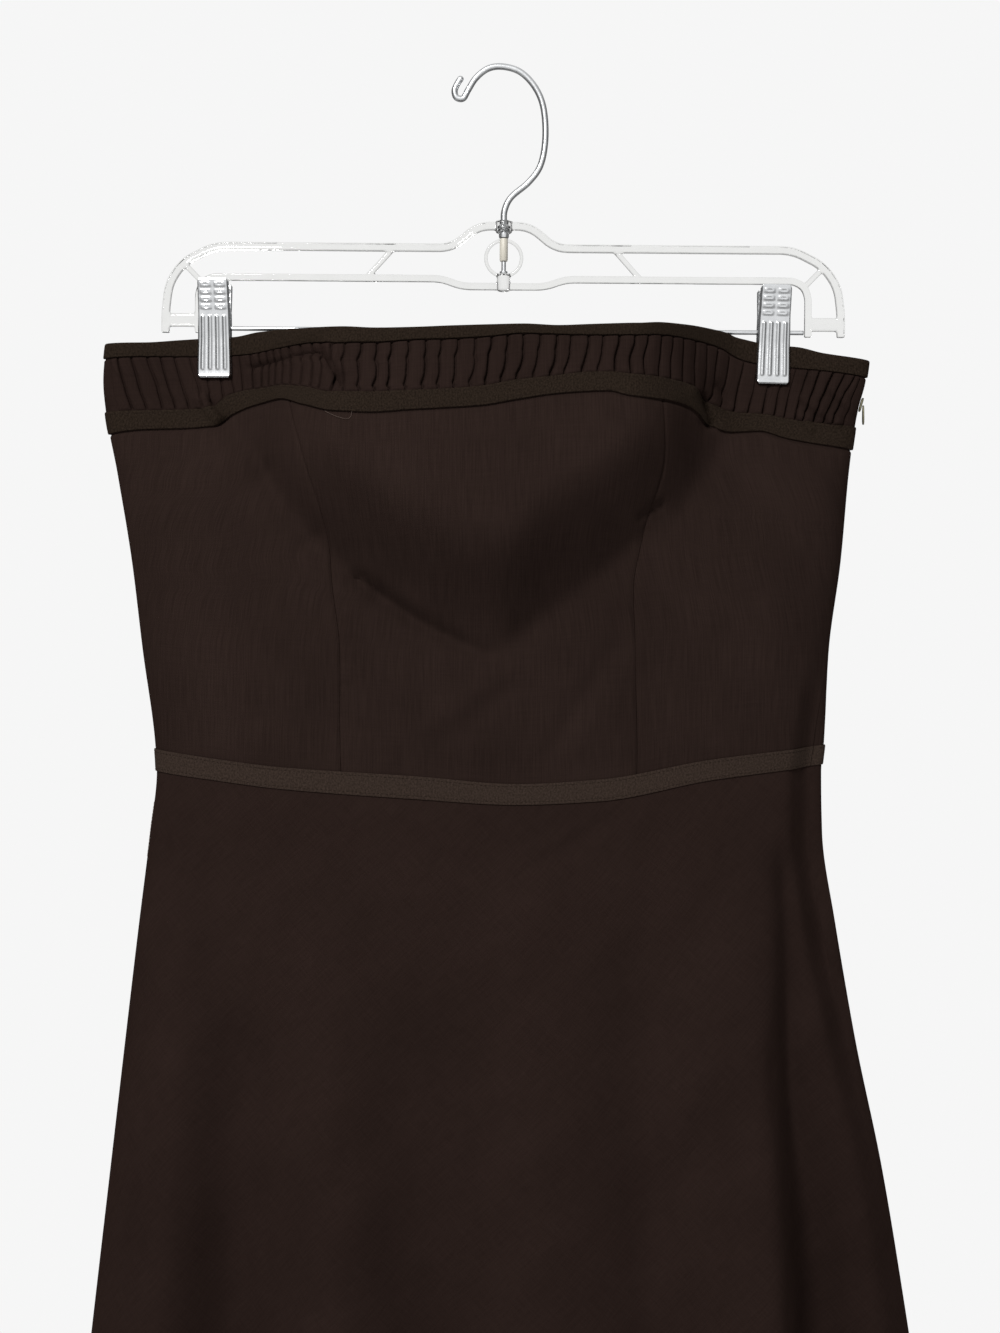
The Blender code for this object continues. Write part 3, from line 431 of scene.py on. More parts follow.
@dataclass
class Drape:
    """Form of the hanging dress, as one closed loop of cloth at every height."""

    bust_fullness: float = 36.0
    bust_roll: float = 70.0
    bust_top_loss: float = 0.17
    flute_top: float = -405.0
    flute_middle: float = -540.0
    flute_full: float = -700.0
    groove_width: float = 14.0
    groove_floor: float = 4.0
    left_clip: float = -155.5
    right_clip: float = 146.0
    clip_drops: tuple = (0.0, 2.0)
    jaw_bottom: float = -168.0
    pinch_half: float = 9.9
    pinch_spread: float = 72.0
    pinch_fade: float = 77.0
    pinch_depth: float = 0.75
    left_princess: float = 16.5
    right_princess: float = 42.5
    clip_marks: tuple = (7.0, 10.0)

    def heights(self, across: np.ndarray, seam: np.ndarray, front: bool) -> np.ndarray:
        """Heights at seam numbers: straight mixes of the two seams round each.

        Args:
            across: share of the way across, 0 at the left outline.
            seam: seam numbers, in a shape that goes with across.
            front: whether the place is on the front.

        Returns:
            Heights in the shape of the two together.
        """
        top = FRONT_TOP if front else BACK_TOP
        waist = FRONT_WAIST if front else BACK_WAIST
        tables = [(top, key) for key in ("top_edge", "binding_low", "ribbon_top", "ribbon_low")]
        tables += [(waist, "ribbon_top"), (waist, "ribbon_low"), (HEM, "height")]
        rows = [smooth(across, column(table, "across"), column(table, key)) for table, key in tables]
        seam = np.broadcast_to(seam, across.shape)
        above = np.clip(np.floor(seam), 0, 5)
        z = np.zeros(across.shape)
        for k in range(6):
            share = seam - k
            z = np.where(above == k, rows[k] * (1 - share) + rows[k + 1] * share, z)
        return z

    def press(self, x: np.ndarray, z: np.ndarray) -> np.ndarray:
        """How far the clips hold the layers together: 1 between the jaws, fading round them."""
        most = np.zeros(x.shape)
        for clip_x, drop in zip((self.left_clip, self.right_clip), self.clip_drops):
            beside = 1 - ease((np.abs(x - clip_x) - self.pinch_half) / self.pinch_spread)
            below = 1 - ease((self.jaw_bottom - drop - z) / self.pinch_fade)
            most = np.maximum(most, beside * below)
        return most

    def flutes(self, across: np.ndarray, z: np.ndarray, table: tuple) -> np.ndarray:
        """Sum of the skirt's soft folds: a bell across each path, growing downwards."""
        top, middle, full = self.flute_top, self.flute_middle, self.flute_full
        growth = 0.35 * ease((top - z) / (top - middle))
        growth = growth + 0.75 * ease((middle + 60 - z) / (middle + 60 - full))
        down = np.clip((top - z) / (top - full), 0.0, 1.0)
        total = np.zeros(across.shape)
        for flute in table:
            place = flute.start + (flute.middle - flute.start) * ease(down * 2)
            place = place + (flute.end - flute.middle) * ease(down * 2 - 1)
            spread = np.where(across < place, flute.left, flute.right)
            total = total + flute.rise * np.exp(-((across - place) / spread) ** 2)
        return total * growth

    def bust(self, x: np.ndarray, z: np.ndarray) -> np.ndarray:
        """Fullness above the sagging line: a soft step up from it, less near the top."""
        line = smooth(x, column(BUST_LINE, "x"), column(BUST_LINE, "height"))
        top = 1 - self.bust_top_loss * ease((z + 205) / 60)
        return self.bust_fullness * top * ease((z - line) / self.bust_roll)

    @staticmethod
    def creases(x: np.ndarray, z: np.ndarray, table: tuple) -> np.ndarray:
        """Sum of the creases: each a bell across its line, fading out past its ends."""
        total = np.zeros(x.shape)
        for crease in table:
            ahead = np.array([crease.x2 - crease.x1, crease.z2 - crease.z1])
            length = float(np.linalg.norm(ahead))
            ahead = ahead / length
            along = (x - crease.x1) * ahead[0] + (z - crease.z1) * ahead[1]
            off = (x - crease.x1) * ahead[1] - (z - crease.z1) * ahead[0]
            fade = max(0.22 * length, crease.half)
            ends = ease(along / fade + 0.5) * ease((length - along) / fade + 0.5)
            total = total + crease.rise * ends * np.exp(-((off / crease.half) ** 2))
        return total

    def depth(self, across: np.ndarray, x: np.ndarray, z: np.ndarray, cosine: np.ndarray,
              front: bool) -> np.ndarray:
        """Distance of the cloth from the hanger's plane.

        A round-ended section stands off by the middle's depth with the flutes, the
        bust, the creases and the zip's groove, and goes down to a thin pinch at the clips.
        """
        power = 6.0 - 1.6 * ease((-420 - z) / 250)
        round_end = np.sqrt(np.clip(1 - np.abs(cosine) ** power, 0.0, 1.0))
        if front:
            middle = by_height(WIDTHS, "front", z) + self.flutes(across, z, FRONT_FLUTES)
            middle = middle + self.bust(x, z)
            inset = by_height(GROOVE, "inset", z)
            edge = by_height(WIDTHS, "right", z) - inset
            near = by_height(GROOVE, "depth", z)
            near = near * ease((x - edge + self.groove_width) / self.groove_width)
            depth = round_end * middle
            depth = depth - near * np.maximum(depth - self.groove_floor, 0.0)
            small = self.creases(x, z, FRONT_CREASES)
        else:
            middle = by_height(WIDTHS, "back", z) + self.flutes(across, z, BACK_FLUTES)
            depth = round_end * middle
            small = self.creases(x, z, BACK_CREASES)
        depth = depth + small * ease(depth / 9.0)
        depth = depth + (self.pinch_depth - depth) * self.press(x, z)
        if front:
            small = self.creases(x, z, FINE_CREASES)
            depth = depth + np.where(small > 0, small, small * ease((depth + 0.5) / 6.0))
        return depth

    def loop(self, turn: np.ndarray, seam: np.ndarray) -> np.ndarray:
        """Points round the loop, 0 to 1 along the front and 1 to 2 along the back.

        The place across is half of one less the cosine of half a turn, and x lies
        between the outline's two sides at that height.

        Args:
            turn: places round the loop.
            seam: a seam number for each row.

        Returns:
            Points, rows by turns by three.
        """
        cosine = np.broadcast_to(np.cos(math.pi * turn), (len(seam), len(turn)))
        across = (1 - cosine) / 2
        points = np.zeros((len(seam), len(turn), 3))
        for front in (True, False):
            here = turn <= 1 if front else turn > 1
            f = across[:, here]
            z = self.heights(f, seam[:, None], front)
            left = by_height(WIDTHS, "left", z)
            x = left + (by_height(WIDTHS, "right", z) - left) * f
            depth = self.depth(f, x, z, cosine[:, here], front)
            points[:, here] = np.stack([x, -depth if front else depth, z], axis=-1)
        return points

    def anchors(self, side: Side, seam: np.ndarray, points: np.ndarray,
                run: np.ndarray) -> tuple[np.ndarray, np.ndarray]:
        """Marks with known places along the loop: folds, clips and princess seams."""
        half = DENSE // 2
        front = points[:, :half + 1]
        inset = by_height(GROOVE, "inset", front[..., 2])
        beyond = front[..., 0] - by_height(WIDTHS, "right", front[..., 2]) + inset
        tail = slice(half // 2, half + 1)
        flat = beyond[:, tail]
        nil = np.zeros((len(seam), 1))
        zip_run = along_rows(nil, flat, run[:, tail, None])[..., 0]
        near, far = self.clip_marks
        loose = ease(seam - 3.0)[:, None]
        jaws = np.array([self.left_clip - self.pinch_half, self.left_clip + self.pinch_half,
                         self.right_clip - self.pinch_half, self.right_clip + self.pinch_half])
        inner = np.array([near, far, TUCKS - far, TUCKS - near])
        if side is Side.FRONT:
            across = (front[..., 0] - front[:, :1, 0])
            across = across / across[:, -1:]
            middle = front[:, half // 2, 2]
            split = np.stack([by_height(PRINCESS, "left", middle),
                              by_height(PRINCESS, "right", middle)], axis=1)
            seams = along_rows(split, across, run[:, :half + 1, None])[..., 0]
            even_marks = np.array([0.0, self.left_princess, self.right_princess, TUCKS])
            even_runs = np.concatenate([nil, seams, zip_run], axis=1)
            basis = np.stack([np.interp(inner, even_marks, row) for row in np.eye(4)])
            held = along_rows(np.tile(jaws, (len(seam), 1)), front[..., 0],
                              run[:, :half + 1, None])[..., 0]
            runs = held * (1 - loose) + (even_runs @ basis) * loose
            marks = np.array([0.0, near, far, *even_marks[1:3], *inner[2:], TUCKS])
            return marks, np.concatenate([nil, runs[:, :2], seams, runs[:, 2:], zip_run], axis=1)
        back = points[:, half:]
        held = along_rows(np.tile(-jaws[::-1], (len(seam), 1)), -back[..., 0],
                          run[:, half:, None])[..., 0]
        even = zip_run + (run[:, -1:] - zip_run) * inner / TUCKS
        runs = held * (1 - loose) + even * loose
        marks = np.array([0.0, *inner, TUCKS])
        return marks, np.concatenate([zip_run, runs, run[:, -1:]], axis=1)

    def patch(self, side: Side, seams: np.ndarray, marks: np.ndarray, gap: float = 0.0) -> Patch:
        """Stretch of cloth between seams and marks.

        The loop at each seam is measured along its length, the marks are laid out on
        that length, and the direction out is the cross product of down and along.

        Args:
            side: front or back.
            seams: a seam number for each row, from the top down.
            marks: a mark for each column, or rows by columns of them.
            gap: how far the first and last columns keep in from their own places.

        Returns:
            The patch, with its flat distances along and down the cloth.
        """
        turn = np.linspace(0.0, 2.0, DENSE + 1)
        points = self.loop(turn, seams)
        step = 0.004
        down = self.loop(turn, np.minimum(seams + step, 6.0))
        down = down - self.loop(turn, np.maximum(seams - step, 0.0))
        ring_x = points[..., 0]
        ring = points[:, :-1]
        along = np.roll(ring, -1, axis=1) - np.roll(ring, 1, axis=1)
        along = np.concatenate([along, along[:, :1]], axis=1)
        out = unit(np.cross(down, along))
        lengths = np.linalg.norm(np.diff(points, axis=1), axis=-1)
        run = np.concatenate([np.zeros((len(seams), 1)), np.cumsum(lengths, axis=1)], axis=1)
        known, runs = self.anchors(side, seams, points, run)
        marks = np.broadcast_to(marks, (len(seams), np.shape(marks)[-1]))
        at = along_rows(marks, np.tile(known, (len(seams), 1)), runs[..., None])[..., 0]
        share = np.linspace(0.0, 1.0, at.shape[1])
        at = at + gap * ((1 - share) ** 12 - share ** 12)
        read = along_rows(at, run, np.concatenate([points, out], axis=-1))
        points = read[..., :3]
        fall = np.linalg.norm(np.diff(points, axis=0), axis=-1).mean(axis=1)
        fall = np.concatenate([[0.0], np.cumsum(fall)])
        half = DENSE // 2
        face = slice(0, half + 1) if side is Side.FRONT else slice(half, DENSE + 1)
        way = 1.0 if side is Side.FRONT else -1.0
        middle = along_rows(np.zeros((len(seams), 1)), way * ring_x[:, face],
                            run[:, face, None])[..., 0]
        flat = np.stack([at - middle, np.broadcast_to(-fall[:, None], at.shape)], axis=-1)
        press = self.press(points[..., 0], points[..., 2])
        return Patch(points, unit(read[..., 3:]), flat, press)


class Tree:
    """Node tree of a material or a world, with short calls to add and join nodes."""

    def __init__(self, owner: bpy.types.ID, output: str = "OutputMaterial") -> None:
        """Empty the owner's tree but for its output."""
        self.owner = owner
        owner.use_nodes = True
        self.tree = owner.node_tree
        self.tree.nodes.clear()
        self.output = self.add(output)

    def join(self, socket: bpy.types.NodeSocket, value: object) -> None:
        """Give an input its value, a constant or another node's socket."""
        if isinstance(value, bpy.types.NodeSocket):
            self.tree.links.new(value, socket)
        else:
            socket.default_value = value

    def add(self, kind: str, settings: dict | None = None, **values: object) -> bpy.types.Node:
        """Add a node.

        Args:
            kind: node type without its common first part.
            settings: properties of the node itself.
            values: inputs by name with _ for a blank, each a constant or a socket.

        Returns:
            The node.
        """
        node = self.tree.nodes.new("ShaderNode" + kind)
        for key, value in (settings or {}).items():
            setattr(node, key, value)
        for key, value in values.items():
            self.join(node.inputs[key.replace("_", " ")], value)
        return node

    def surface(self, **values: object) -> bpy.types.Material:
        """Join a principled shader with these inputs to the output, and return the material."""
        shader = self.add("BsdfPrincipled", **values)
        self.join(self.output.inputs["Surface"], shader.outputs[0])
        return self.owner

    def math(self, operation: str, *values: object) -> bpy.types.NodeSocket:
        """Arithmetic on values, each a constant or a socket."""
        node = self.add("Math", {"operation": operation})
        for socket, value in zip(node.inputs, values):
            self.join(socket, value)
        return node.outputs[0]

    def speckle(self, scale: float, detail: float) -> bpy.types.NodeSocket:
        """Noise on the object's own coordinates."""
        place = self.add("TexCoord").outputs["Object"]
        return self.add("TexNoise", Vector=place, Scale=scale, Detail=detail).outputs[0]

    def cloth_place(self, angle: float, across: float, along: float) -> bpy.types.NodeSocket:
        """Flat cloth coordinates turned to the grain and scaled to cells per metre."""
        uv = self.add("UVMap", {"uv_map": "cloth"})
        turned = self.add("Mapping", Vector=uv.outputs[0], Rotation=(0.0, 0.0, angle))
        return self.add("Mapping", Vector=turned.outputs[0],
                        Scale=(across, along, 1.0)).outputs[0]

    def noise(self, place: bpy.types.NodeSocket, detail: float = 2.0,
              rough: float = 0.6) -> bpy.types.NodeSocket:
        """Noise with one cell to each unit of the place."""
        node = self.add("TexNoise", {"noise_dimensions": "2D"}, Vector=place, Scale=1.0,
                        Detail=detail, Roughness=rough)
        return node.outputs[0]

    def spread(self, value: bpy.types.NodeSocket, low: float, high: float, to_low: float = 0.0,
               to_high: float = 1.0, kind: str = "LINEAR") -> bpy.types.NodeSocket:
        """Value stretched from one range to another and held inside it."""
        node = self.add("MapRange", {"interpolation_type": kind}, Value=value, From_Min=low,
                        From_Max=high, To_Min=to_low, To_Max=to_high)
        return node.outputs[0]

    def mix(self, share: bpy.types.NodeSocket, first: tuple, second: tuple) -> bpy.types.NodeSocket:
        """Mix of two constant colours."""
        node = self.add("Mix", {"data_type": "RGBA"})
        for place, value in ((0, share), (6, (*first, 1.0)), (7, (*second, 1.0))):
            self.join(node.inputs[place], value)
        return node.outputs[2]


@dataclass(frozen=True)
class ClothFinish:
    """Matt woven cloth: slub streaks along the grain, a soft nap and a fine weave."""

    name: str
    dark: tuple = (0.0225, 0.0140, 0.0117)
    light: tuple = (0.0330, 0.0206, 0.0172)
    grain: float = 0.0
    streak_across: float = 1500.0
    streak_along: float = 42.0
    cross_share: float = 0.25
    roughness: float = 0.92
    sheen: float = 0.02
    bump: float = 0.3

    def build(self) -> bpy.types.Material:
        """Mix two browns by long streaks and a little cross weave, and bump the weave."""
        tree = Tree(bpy.data.materials.new(self.name))
        warp = tree.noise(tree.cloth_place(self.grain, self.streak_across, self.streak_along), 3.0)
        weft = tree.noise(tree.cloth_place(self.grain, self.streak_along, self.streak_across), 3.0)
        cloud = tree.noise(tree.cloth_place(self.grain, 24.0, 12.0), 2.0, 0.5)
        woven = tree.add("Mix", {"data_type": "FLOAT"}, Factor=self.cross_share)
        tree.join(woven.inputs[2], tree.spread(warp, 0.30, 0.70))
        tree.join(woven.inputs[3], tree.spread(weft, 0.30, 0.70))
        tone = tree.mix(woven.outputs[0], self.dark, self.light)
        shade = tree.spread(cloud, 0.25, 0.75, 0.90, 1.10)
        bright = tree.add("HueSaturation", Color=tone, Value=shade)
        fine = tree.noise(tree.cloth_place(self.grain, 2600.0, 1500.0), 1.0)
        weave = tree.math("ADD", fine, warp)
        bump = tree.add("Bump", Height=weave, Strength=self.bump, Distance=0.00025)
        return tree.surface(Base_Color=bright.outputs[0], Roughness=self.roughness,
                            Normal=bump.outputs[0], Sheen_Weight=self.sheen, Sheen_Roughness=0.45,
                            Sheen_Tint=(0.60, 0.36, 0.28, 1.0), Specular_IOR_Level=0.0)


@dataclass(frozen=True)
class RibbonFinish:
    """Dull speckled ribbon with fine ribs across its length, with painted shade in the rib valleys and a
    painted highlight on the rib tops.
    """

    name: str
    # dark colour: random darker speckle, and painted shade in the rib valleys
    dark_tone_and_rib_shade: tuple = (0.0115, 0.0078, 0.0054)
    # pale colour: random paler speckle, and a painted highlight on the rib tops
    ridge: tuple = (0.0345, 0.0235, 0.0167)
    ribs_per_metre: float = 1250.0
    # share of the colour mix that follows the ribs: painted shade in their valleys and a painted
    # highlight on their tops
    rib_shade_share: float = 0.25
    roughness: float = 0.78
    sheen: float = 0.02

    def build(self) -> bpy.types.Material:
        """Stripes across the ribbon, roughened by noise, bump it and colour it: the dark colour in the
        rib valleys is painted shade and the pale colour on the rib tops is a painted highlight, mixed
        with random speckle.
        """
        tree = Tree(bpy.data.materials.new(self.name))
        place = tree.cloth_place(0.0, self.ribs_per_metre, 90.0)
        ribs = tree.add("TexWave", {"bands_direction": "X"}, Vector=place, Scale=0.3183,
                        Distortion=0.6, Detail=1.0)
        slub = tree.spread(tree.noise(tree.cloth_place(0.0, 1050.0, 900.0), 2.0), 0.30, 0.70)
        speckled = tree.math("MULTIPLY", slub, 1 - self.rib_shade_share)
        # the ribs' share paints shade in their valleys and a highlight on their tops
        share = tree.math("MULTIPLY_ADD", ribs.outputs[1], self.rib_shade_share, speckled)
        tone = tree.mix(share, self.dark_tone_and_rib_shade, self.ridge)
        bump = tree.add("Bump", Height=ribs.outputs[1], Strength=0.4, Distance=0.0002)
        return tree.surface(Base_Color=tone, Roughness=self.roughness, Normal=bump.outputs[0],
                            Sheen_Weight=self.sheen, Sheen_Roughness=0.5,
                            Sheen_Tint=(0.60, 0.42, 0.30, 1.0), Specular_IOR_Level=0.02)


@dataclass(frozen=True)
class ThreadFinish:
    """Twisted sewing thread of one colour."""

    name: str
    colour: tuple

    def build(self) -> bpy.types.Material:
        """Noise on the object's own coordinates varies the colour a little."""
        tree = Tree(bpy.data.materials.new(self.name))
        dark = tuple(0.72 * c for c in self.colour)
        tone = tree.mix(tree.speckle(900.0, 2.0), dark, self.colour)
        return tree.surface(Base_Color=tone, Roughness=0.8, Specular_IOR_Level=0.05)


@dataclass(frozen=True)
class MetalFinish:
    """Plated metal with a slight brushed unevenness."""

    name: str
    colour: tuple = (0.66, 0.67, 0.68)
    dull: tuple = (0.46, 0.47, 0.48)
    rough_low: float = 0.16
    rough_high: float = 0.34
    bump: float = 0.06

    def build(self) -> bpy.types.Material:
        """Noise on the object's own coordinates varies colour, polish and height."""
        tree = Tree(bpy.data.materials.new(self.name))
        fine = tree.speckle(1800.0, 2.0)
        tone = tree.mix(tree.speckle(240.0, 4.0), self.dull, self.colour)
        rough = tree.spread(fine, 0.3, 0.7, self.rough_low, self.rough_high)
        bump = tree.add("Bump", Height=fine, Strength=self.bump, Distance=0.0001)
        return tree.surface(Base_Color=tone, Metallic=1.0, Roughness=rough, Normal=bump.outputs[0])


@dataclass(frozen=True)
class ClearFinish:
    """Clear moulded plastic with a faint ripple."""

    name: str
    tint: tuple = (0.915, 0.917, 0.905)
    roughness: float = 0.04
    ripple: float = 0.12

    def build(self) -> bpy.types.Material:
        """Light passes through with a little tint, and noise ripples the surface."""
        tree = Tree(bpy.data.materials.new(self.name))
        broad = tree.speckle(130.0, 2.0)
        grey = tuple(0.93 * c for c in self.tint)
        tone = tree.mix(broad, grey, self.tint)
        bump = tree.add("Bump", Height=broad, Strength=self.ripple, Distance=0.001)
        return tree.surface(Base_Color=tone, Roughness=self.roughness, IOR=1.49,
                            Normal=bump.outputs[0], Transmission_Weight=1.0)


@dataclass(frozen=True)
class PlainFinish:
    """Plain matt plastic or paint of one colour."""

    name: str
    colour: tuple
    roughness: float = 0.5

    def build(self) -> bpy.types.Material:
        """Noise on the object's own coordinates varies the colour a little."""
        tree = Tree(bpy.data.materials.new(self.name))
        pale = tuple(min(1.0, 1.04 * c) for c in self.colour)
        tone = tree.mix(tree.speckle(60.0, 3.0), self.colour, pale)
        return tree.surface(Base_Color=tone, Roughness=self.roughness)


class Mesher:
    """Puts whole arrays of points and faces into Blender meshes."""

    @staticmethod
    def make(name: str, points: np.ndarray, faces: np.ndarray, material: bpy.types.Material,
             flat: np.ndarray | None = None, sharp: float = 50.0) -> bpy.types.Object:
        """Object from points in millimetres and faces of one size.

        Args:
            name: the piece's name.
            points: corners, one row each.
            faces: corner numbers, one row for each face.
            material: finish of the whole piece.
            flat: flat cloth coordinates of each corner in millimetres, for the UV map.
            sharp: edges that turn by more than this many degrees stay crisp.

        Returns:
            The new object.
        """
        mesh = bpy.data.meshes.new(name)
        mesh.vertices.add(len(points))
        mesh.vertices.foreach_set("co", (points * MM).astype(np.float32).ravel())
        mesh.loops.add(faces.size)
        mesh.loops.foreach_set("vertex_index", faces.astype(np.int32).ravel())
        mesh.polygons.add(len(faces))
        mesh.polygons.foreach_set("loop_start", np.arange(len(faces), dtype=np.int32) * faces.shape[1])
        mesh.update(calc_edges=True)
        if flat is not None:
            layer = mesh.uv_layers.new(name="cloth")
            layer.data.foreach_set("uv", (flat * MM)[faces.ravel()].astype(np.float32).ravel())
        mesh.validate()
        mesh.shade_smooth()
        mesh.set_sharp_from_angle(angle=math.radians(sharp))
        mesh.materials.append(material)
        obj = bpy.data.objects.new(name, mesh)
        bpy.context.scene.collection.objects.link(obj)
        return obj

    @staticmethod
    def quads(rows: int, columns: int, close: bool = False) -> np.ndarray:
        """Faces of a grid, each turned so that down crossed with along points out."""
        k = np.arange(rows * columns).reshape(rows, columns)
        right = np.roll(k, -1, axis=1) if close else k[:, 1:]
        left = k if close else k[:, :-1]
        return np.stack([left[:-1], left[1:], right[1:], right[:-1]], axis=-1).reshape(-1, 4)

    @classmethod
    def shell(cls, name: str, outer: np.ndarray, inner: np.ndarray, flat: np.ndarray,
              material: bpy.types.Material, sharp: float = 50.0) -> bpy.types.Object:
        """Closed thin wall from an outer and an inner grid of the same size.

        The two grids are joined along their four edges by narrow strips.
        """
        rows, columns = outer.shape[:2]
        count = rows * columns
        face = cls.quads(rows, columns)
        k = np.arange(count).reshape(rows, columns)
        rims = []
        for edge, ahead in ((k[0], 1), (k[-1], -1), (k[:, 0], -1), (k[:, -1], 1)):
            a, b = (edge[:-1], edge[1:]) if ahead > 0 else (edge[1:], edge[:-1])
            rims.append(np.stack([a, b, b + count, a + count], axis=-1))
        faces = np.concatenate([face, face[:, ::-1] + count, *rims])
        points = np.concatenate([outer.reshape(-1, 3), inner.reshape(-1, 3)])
        both = np.concatenate([flat.reshape(-1, 2), flat.reshape(-1, 2)])
        return cls.make(name, points, faces, material, both, sharp)

    @classmethod
    def swept(cls, name: str, path: np.ndarray, sizes: np.ndarray, material: bpy.types.Material,
              sides: int = 16, close: bool = False) -> bpy.types.Object:
        """Round tube along a path, its two half sizes given at each point.

        The section's first direction is Y crossed out of the path, so the tube never
        twists, and its ends come to a point.
        """
        ahead = unit(np.gradient(path, axis=0))
        if close:
            ahead = unit(np.roll(path, -1, axis=0) - np.roll(path, 1, axis=0))
        flat_side = np.array([0.0, 1.0, 0.0]) - ahead * ahead[:, 1:2]
        weak = np.linalg.norm(flat_side, axis=1) < 0.05
        flat_side[weak] = np.array([0.0, 0.0, 1.0]) - ahead[weak] * ahead[weak, 2:3]
        deep = unit(flat_side)
        wide = np.cross(deep, ahead)
        angle = np.linspace(0, 2 * math.pi, sides, endpoint=False)
        ring = wide[:, None] * (np.cos(angle)[:, None] * sizes[:, None, :1])
        ring = ring + deep[:, None] * (np.sin(angle)[:, None] * sizes[:, None, 1:])
        points = path[:, None] + ring
        if close:
            points = np.concatenate([points, points[:1]])
        else:
            points = np.concatenate([np.repeat(path[:1], sides, 0)[None], points,
                                     np.repeat(path[-1:], sides, 0)[None]])
        faces = cls.quads(len(points), sides, close=True)
        obj = cls.make(name, points.reshape(-1, 3), faces, material)
        cls.clean(obj)
        return obj

    @staticmethod
    def clean(obj: bpy.types.Object, near: float = 1e-6) -> None:
        """Join corners that lie on each other and turn all faces outwards."""
        work = bmesh.new()
        work.from_mesh(obj.data)
        bmesh.ops.remove_doubles(work, verts=work.verts, dist=near)
        bmesh.ops.recalc_face_normals(work, faces=work.faces)
        work.to_mesh(obj.data)
        work.free()

    @classmethod
    def copies(cls, name: str, template: np.ndarray, faces: np.ndarray, centres: np.ndarray,
               frames: np.ndarray, material: bpy.types.Material) -> bpy.types.Object:
        """Many copies of one small solid in one mesh.

        Each copy is the template's points times the three directions of its place.

        Args:
            name: the piece's name.
            template: points of the small solid.
            faces: its faces.
            centres: place of each copy.
            frames: three directions for each copy.
            material: finish.

        Returns:
            The new object.
        """
        points = np.einsum("pk,nkd->npd", template, frames) + centres[:, None]
        shift = np.arange(len(centres))[:, None, None] * len(template)
        return cls.make(name, points.reshape(-1, 3), (faces[None] + shift).reshape(-1, faces.shape[1]),
                        material)

    @staticmethod
    def seed(length: float, half_wide: float, half_high: float) -> tuple[np.ndarray, np.ndarray]:
        """Small spindle along its first direction, for one stitch."""
        share = np.array([-1.0, -0.75, 0.0, 0.75, 1.0])
        size = np.array([0.05, 0.75, 1.0, 0.75, 0.05])
        angle = np.linspace(0, 2 * math.pi, 6, endpoint=False)
        x = np.broadcast_to(share[:, None] * length / 2, (5, 6))
        points = np.stack([x, size[:, None] * np.cos(angle) * half_wide,
                           size[:, None] * np.sin(angle) * half_high], axis=-1)
        return points.reshape(-1, 3), Mesher.quads(5, 6, close=True)


def dress_piece(obj: bpy.types.Object, body: Body, nodes: tuple = ()) -> bpy.types.Object:
    """Give a piece its body and the CAD nodes that it stands for."""
    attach(obj, body.value)
    if nodes:
        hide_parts(*nodes)
    LOG.info("piece %s: %d faces", obj.name, len(obj.data.polygons))
    return obj


def rows_between(low: float, high: float, seams: tuple) -> np.ndarray:
    """Seam numbers from low to high with a given count in each whole seam."""
    parts = []
    for k, count in enumerate(seams):
        start = max(low, float(k))
        end = min(high, float(k + 1))
        if end > start and count:
            parts.append(np.linspace(start, end, max(2, round(count * (end - start)) + 1)))
    return np.unique(np.round(np.concatenate(parts), 6))


@dataclass
class Stitching:
    """Rows of machine stitches laid on the cloth's outer face."""

    drape: Drape
    pitch: float = 2.3
    length: float = 1.5
    half_wide: float = 0.16
    half_high: float = 0.13

    def row(self, side: Side, seam: float, lift: float) -> tuple[np.ndarray, np.ndarray]:
        """Middles and directions of one row of stitches along a seam number."""
        marks = np.linspace(0.3, 59.7, 900)
        patch = self.drape.patch(side, np.array([seam]), marks)
        line = patch.lifted(lift)[0]
        run = running(line)
        at = np.arange(self.pitch, run[-1] - self.pitch, self.pitch)
        middle = read_line(at, run, line)
        out = unit(read_line(at, run, patch.out[0]))
        ahead = unit(np.gradient(middle, axis=0))
        return middle, np.stack([ahead, np.cross(out, ahead), out], axis=1)

    def build(self, name: str, side: Side, lines: list, slot: Slot,
              material: bpy.types.Material) -> bpy.types.Object:
        """Stitches of several rows as one piece.

        Args:
            name: the piece's name.
            side: front or back.
            lines: pairs of seam number and lift.
            slot: not used.
            material: thread finish.

        Returns:
            The stitches.
        """
        rows = [self.row(side, seam, lift) for seam, lift in lines]
        template, faces = Mesher.seed(self.length, self.half_wide, self.half_high)
        obj = Mesher.copies(name, template, faces, np.concatenate([row[0] for row in rows]),
                            np.concatenate([row[1] for row in rows]), material)
        return dress_piece(obj, Body.GARMENT)


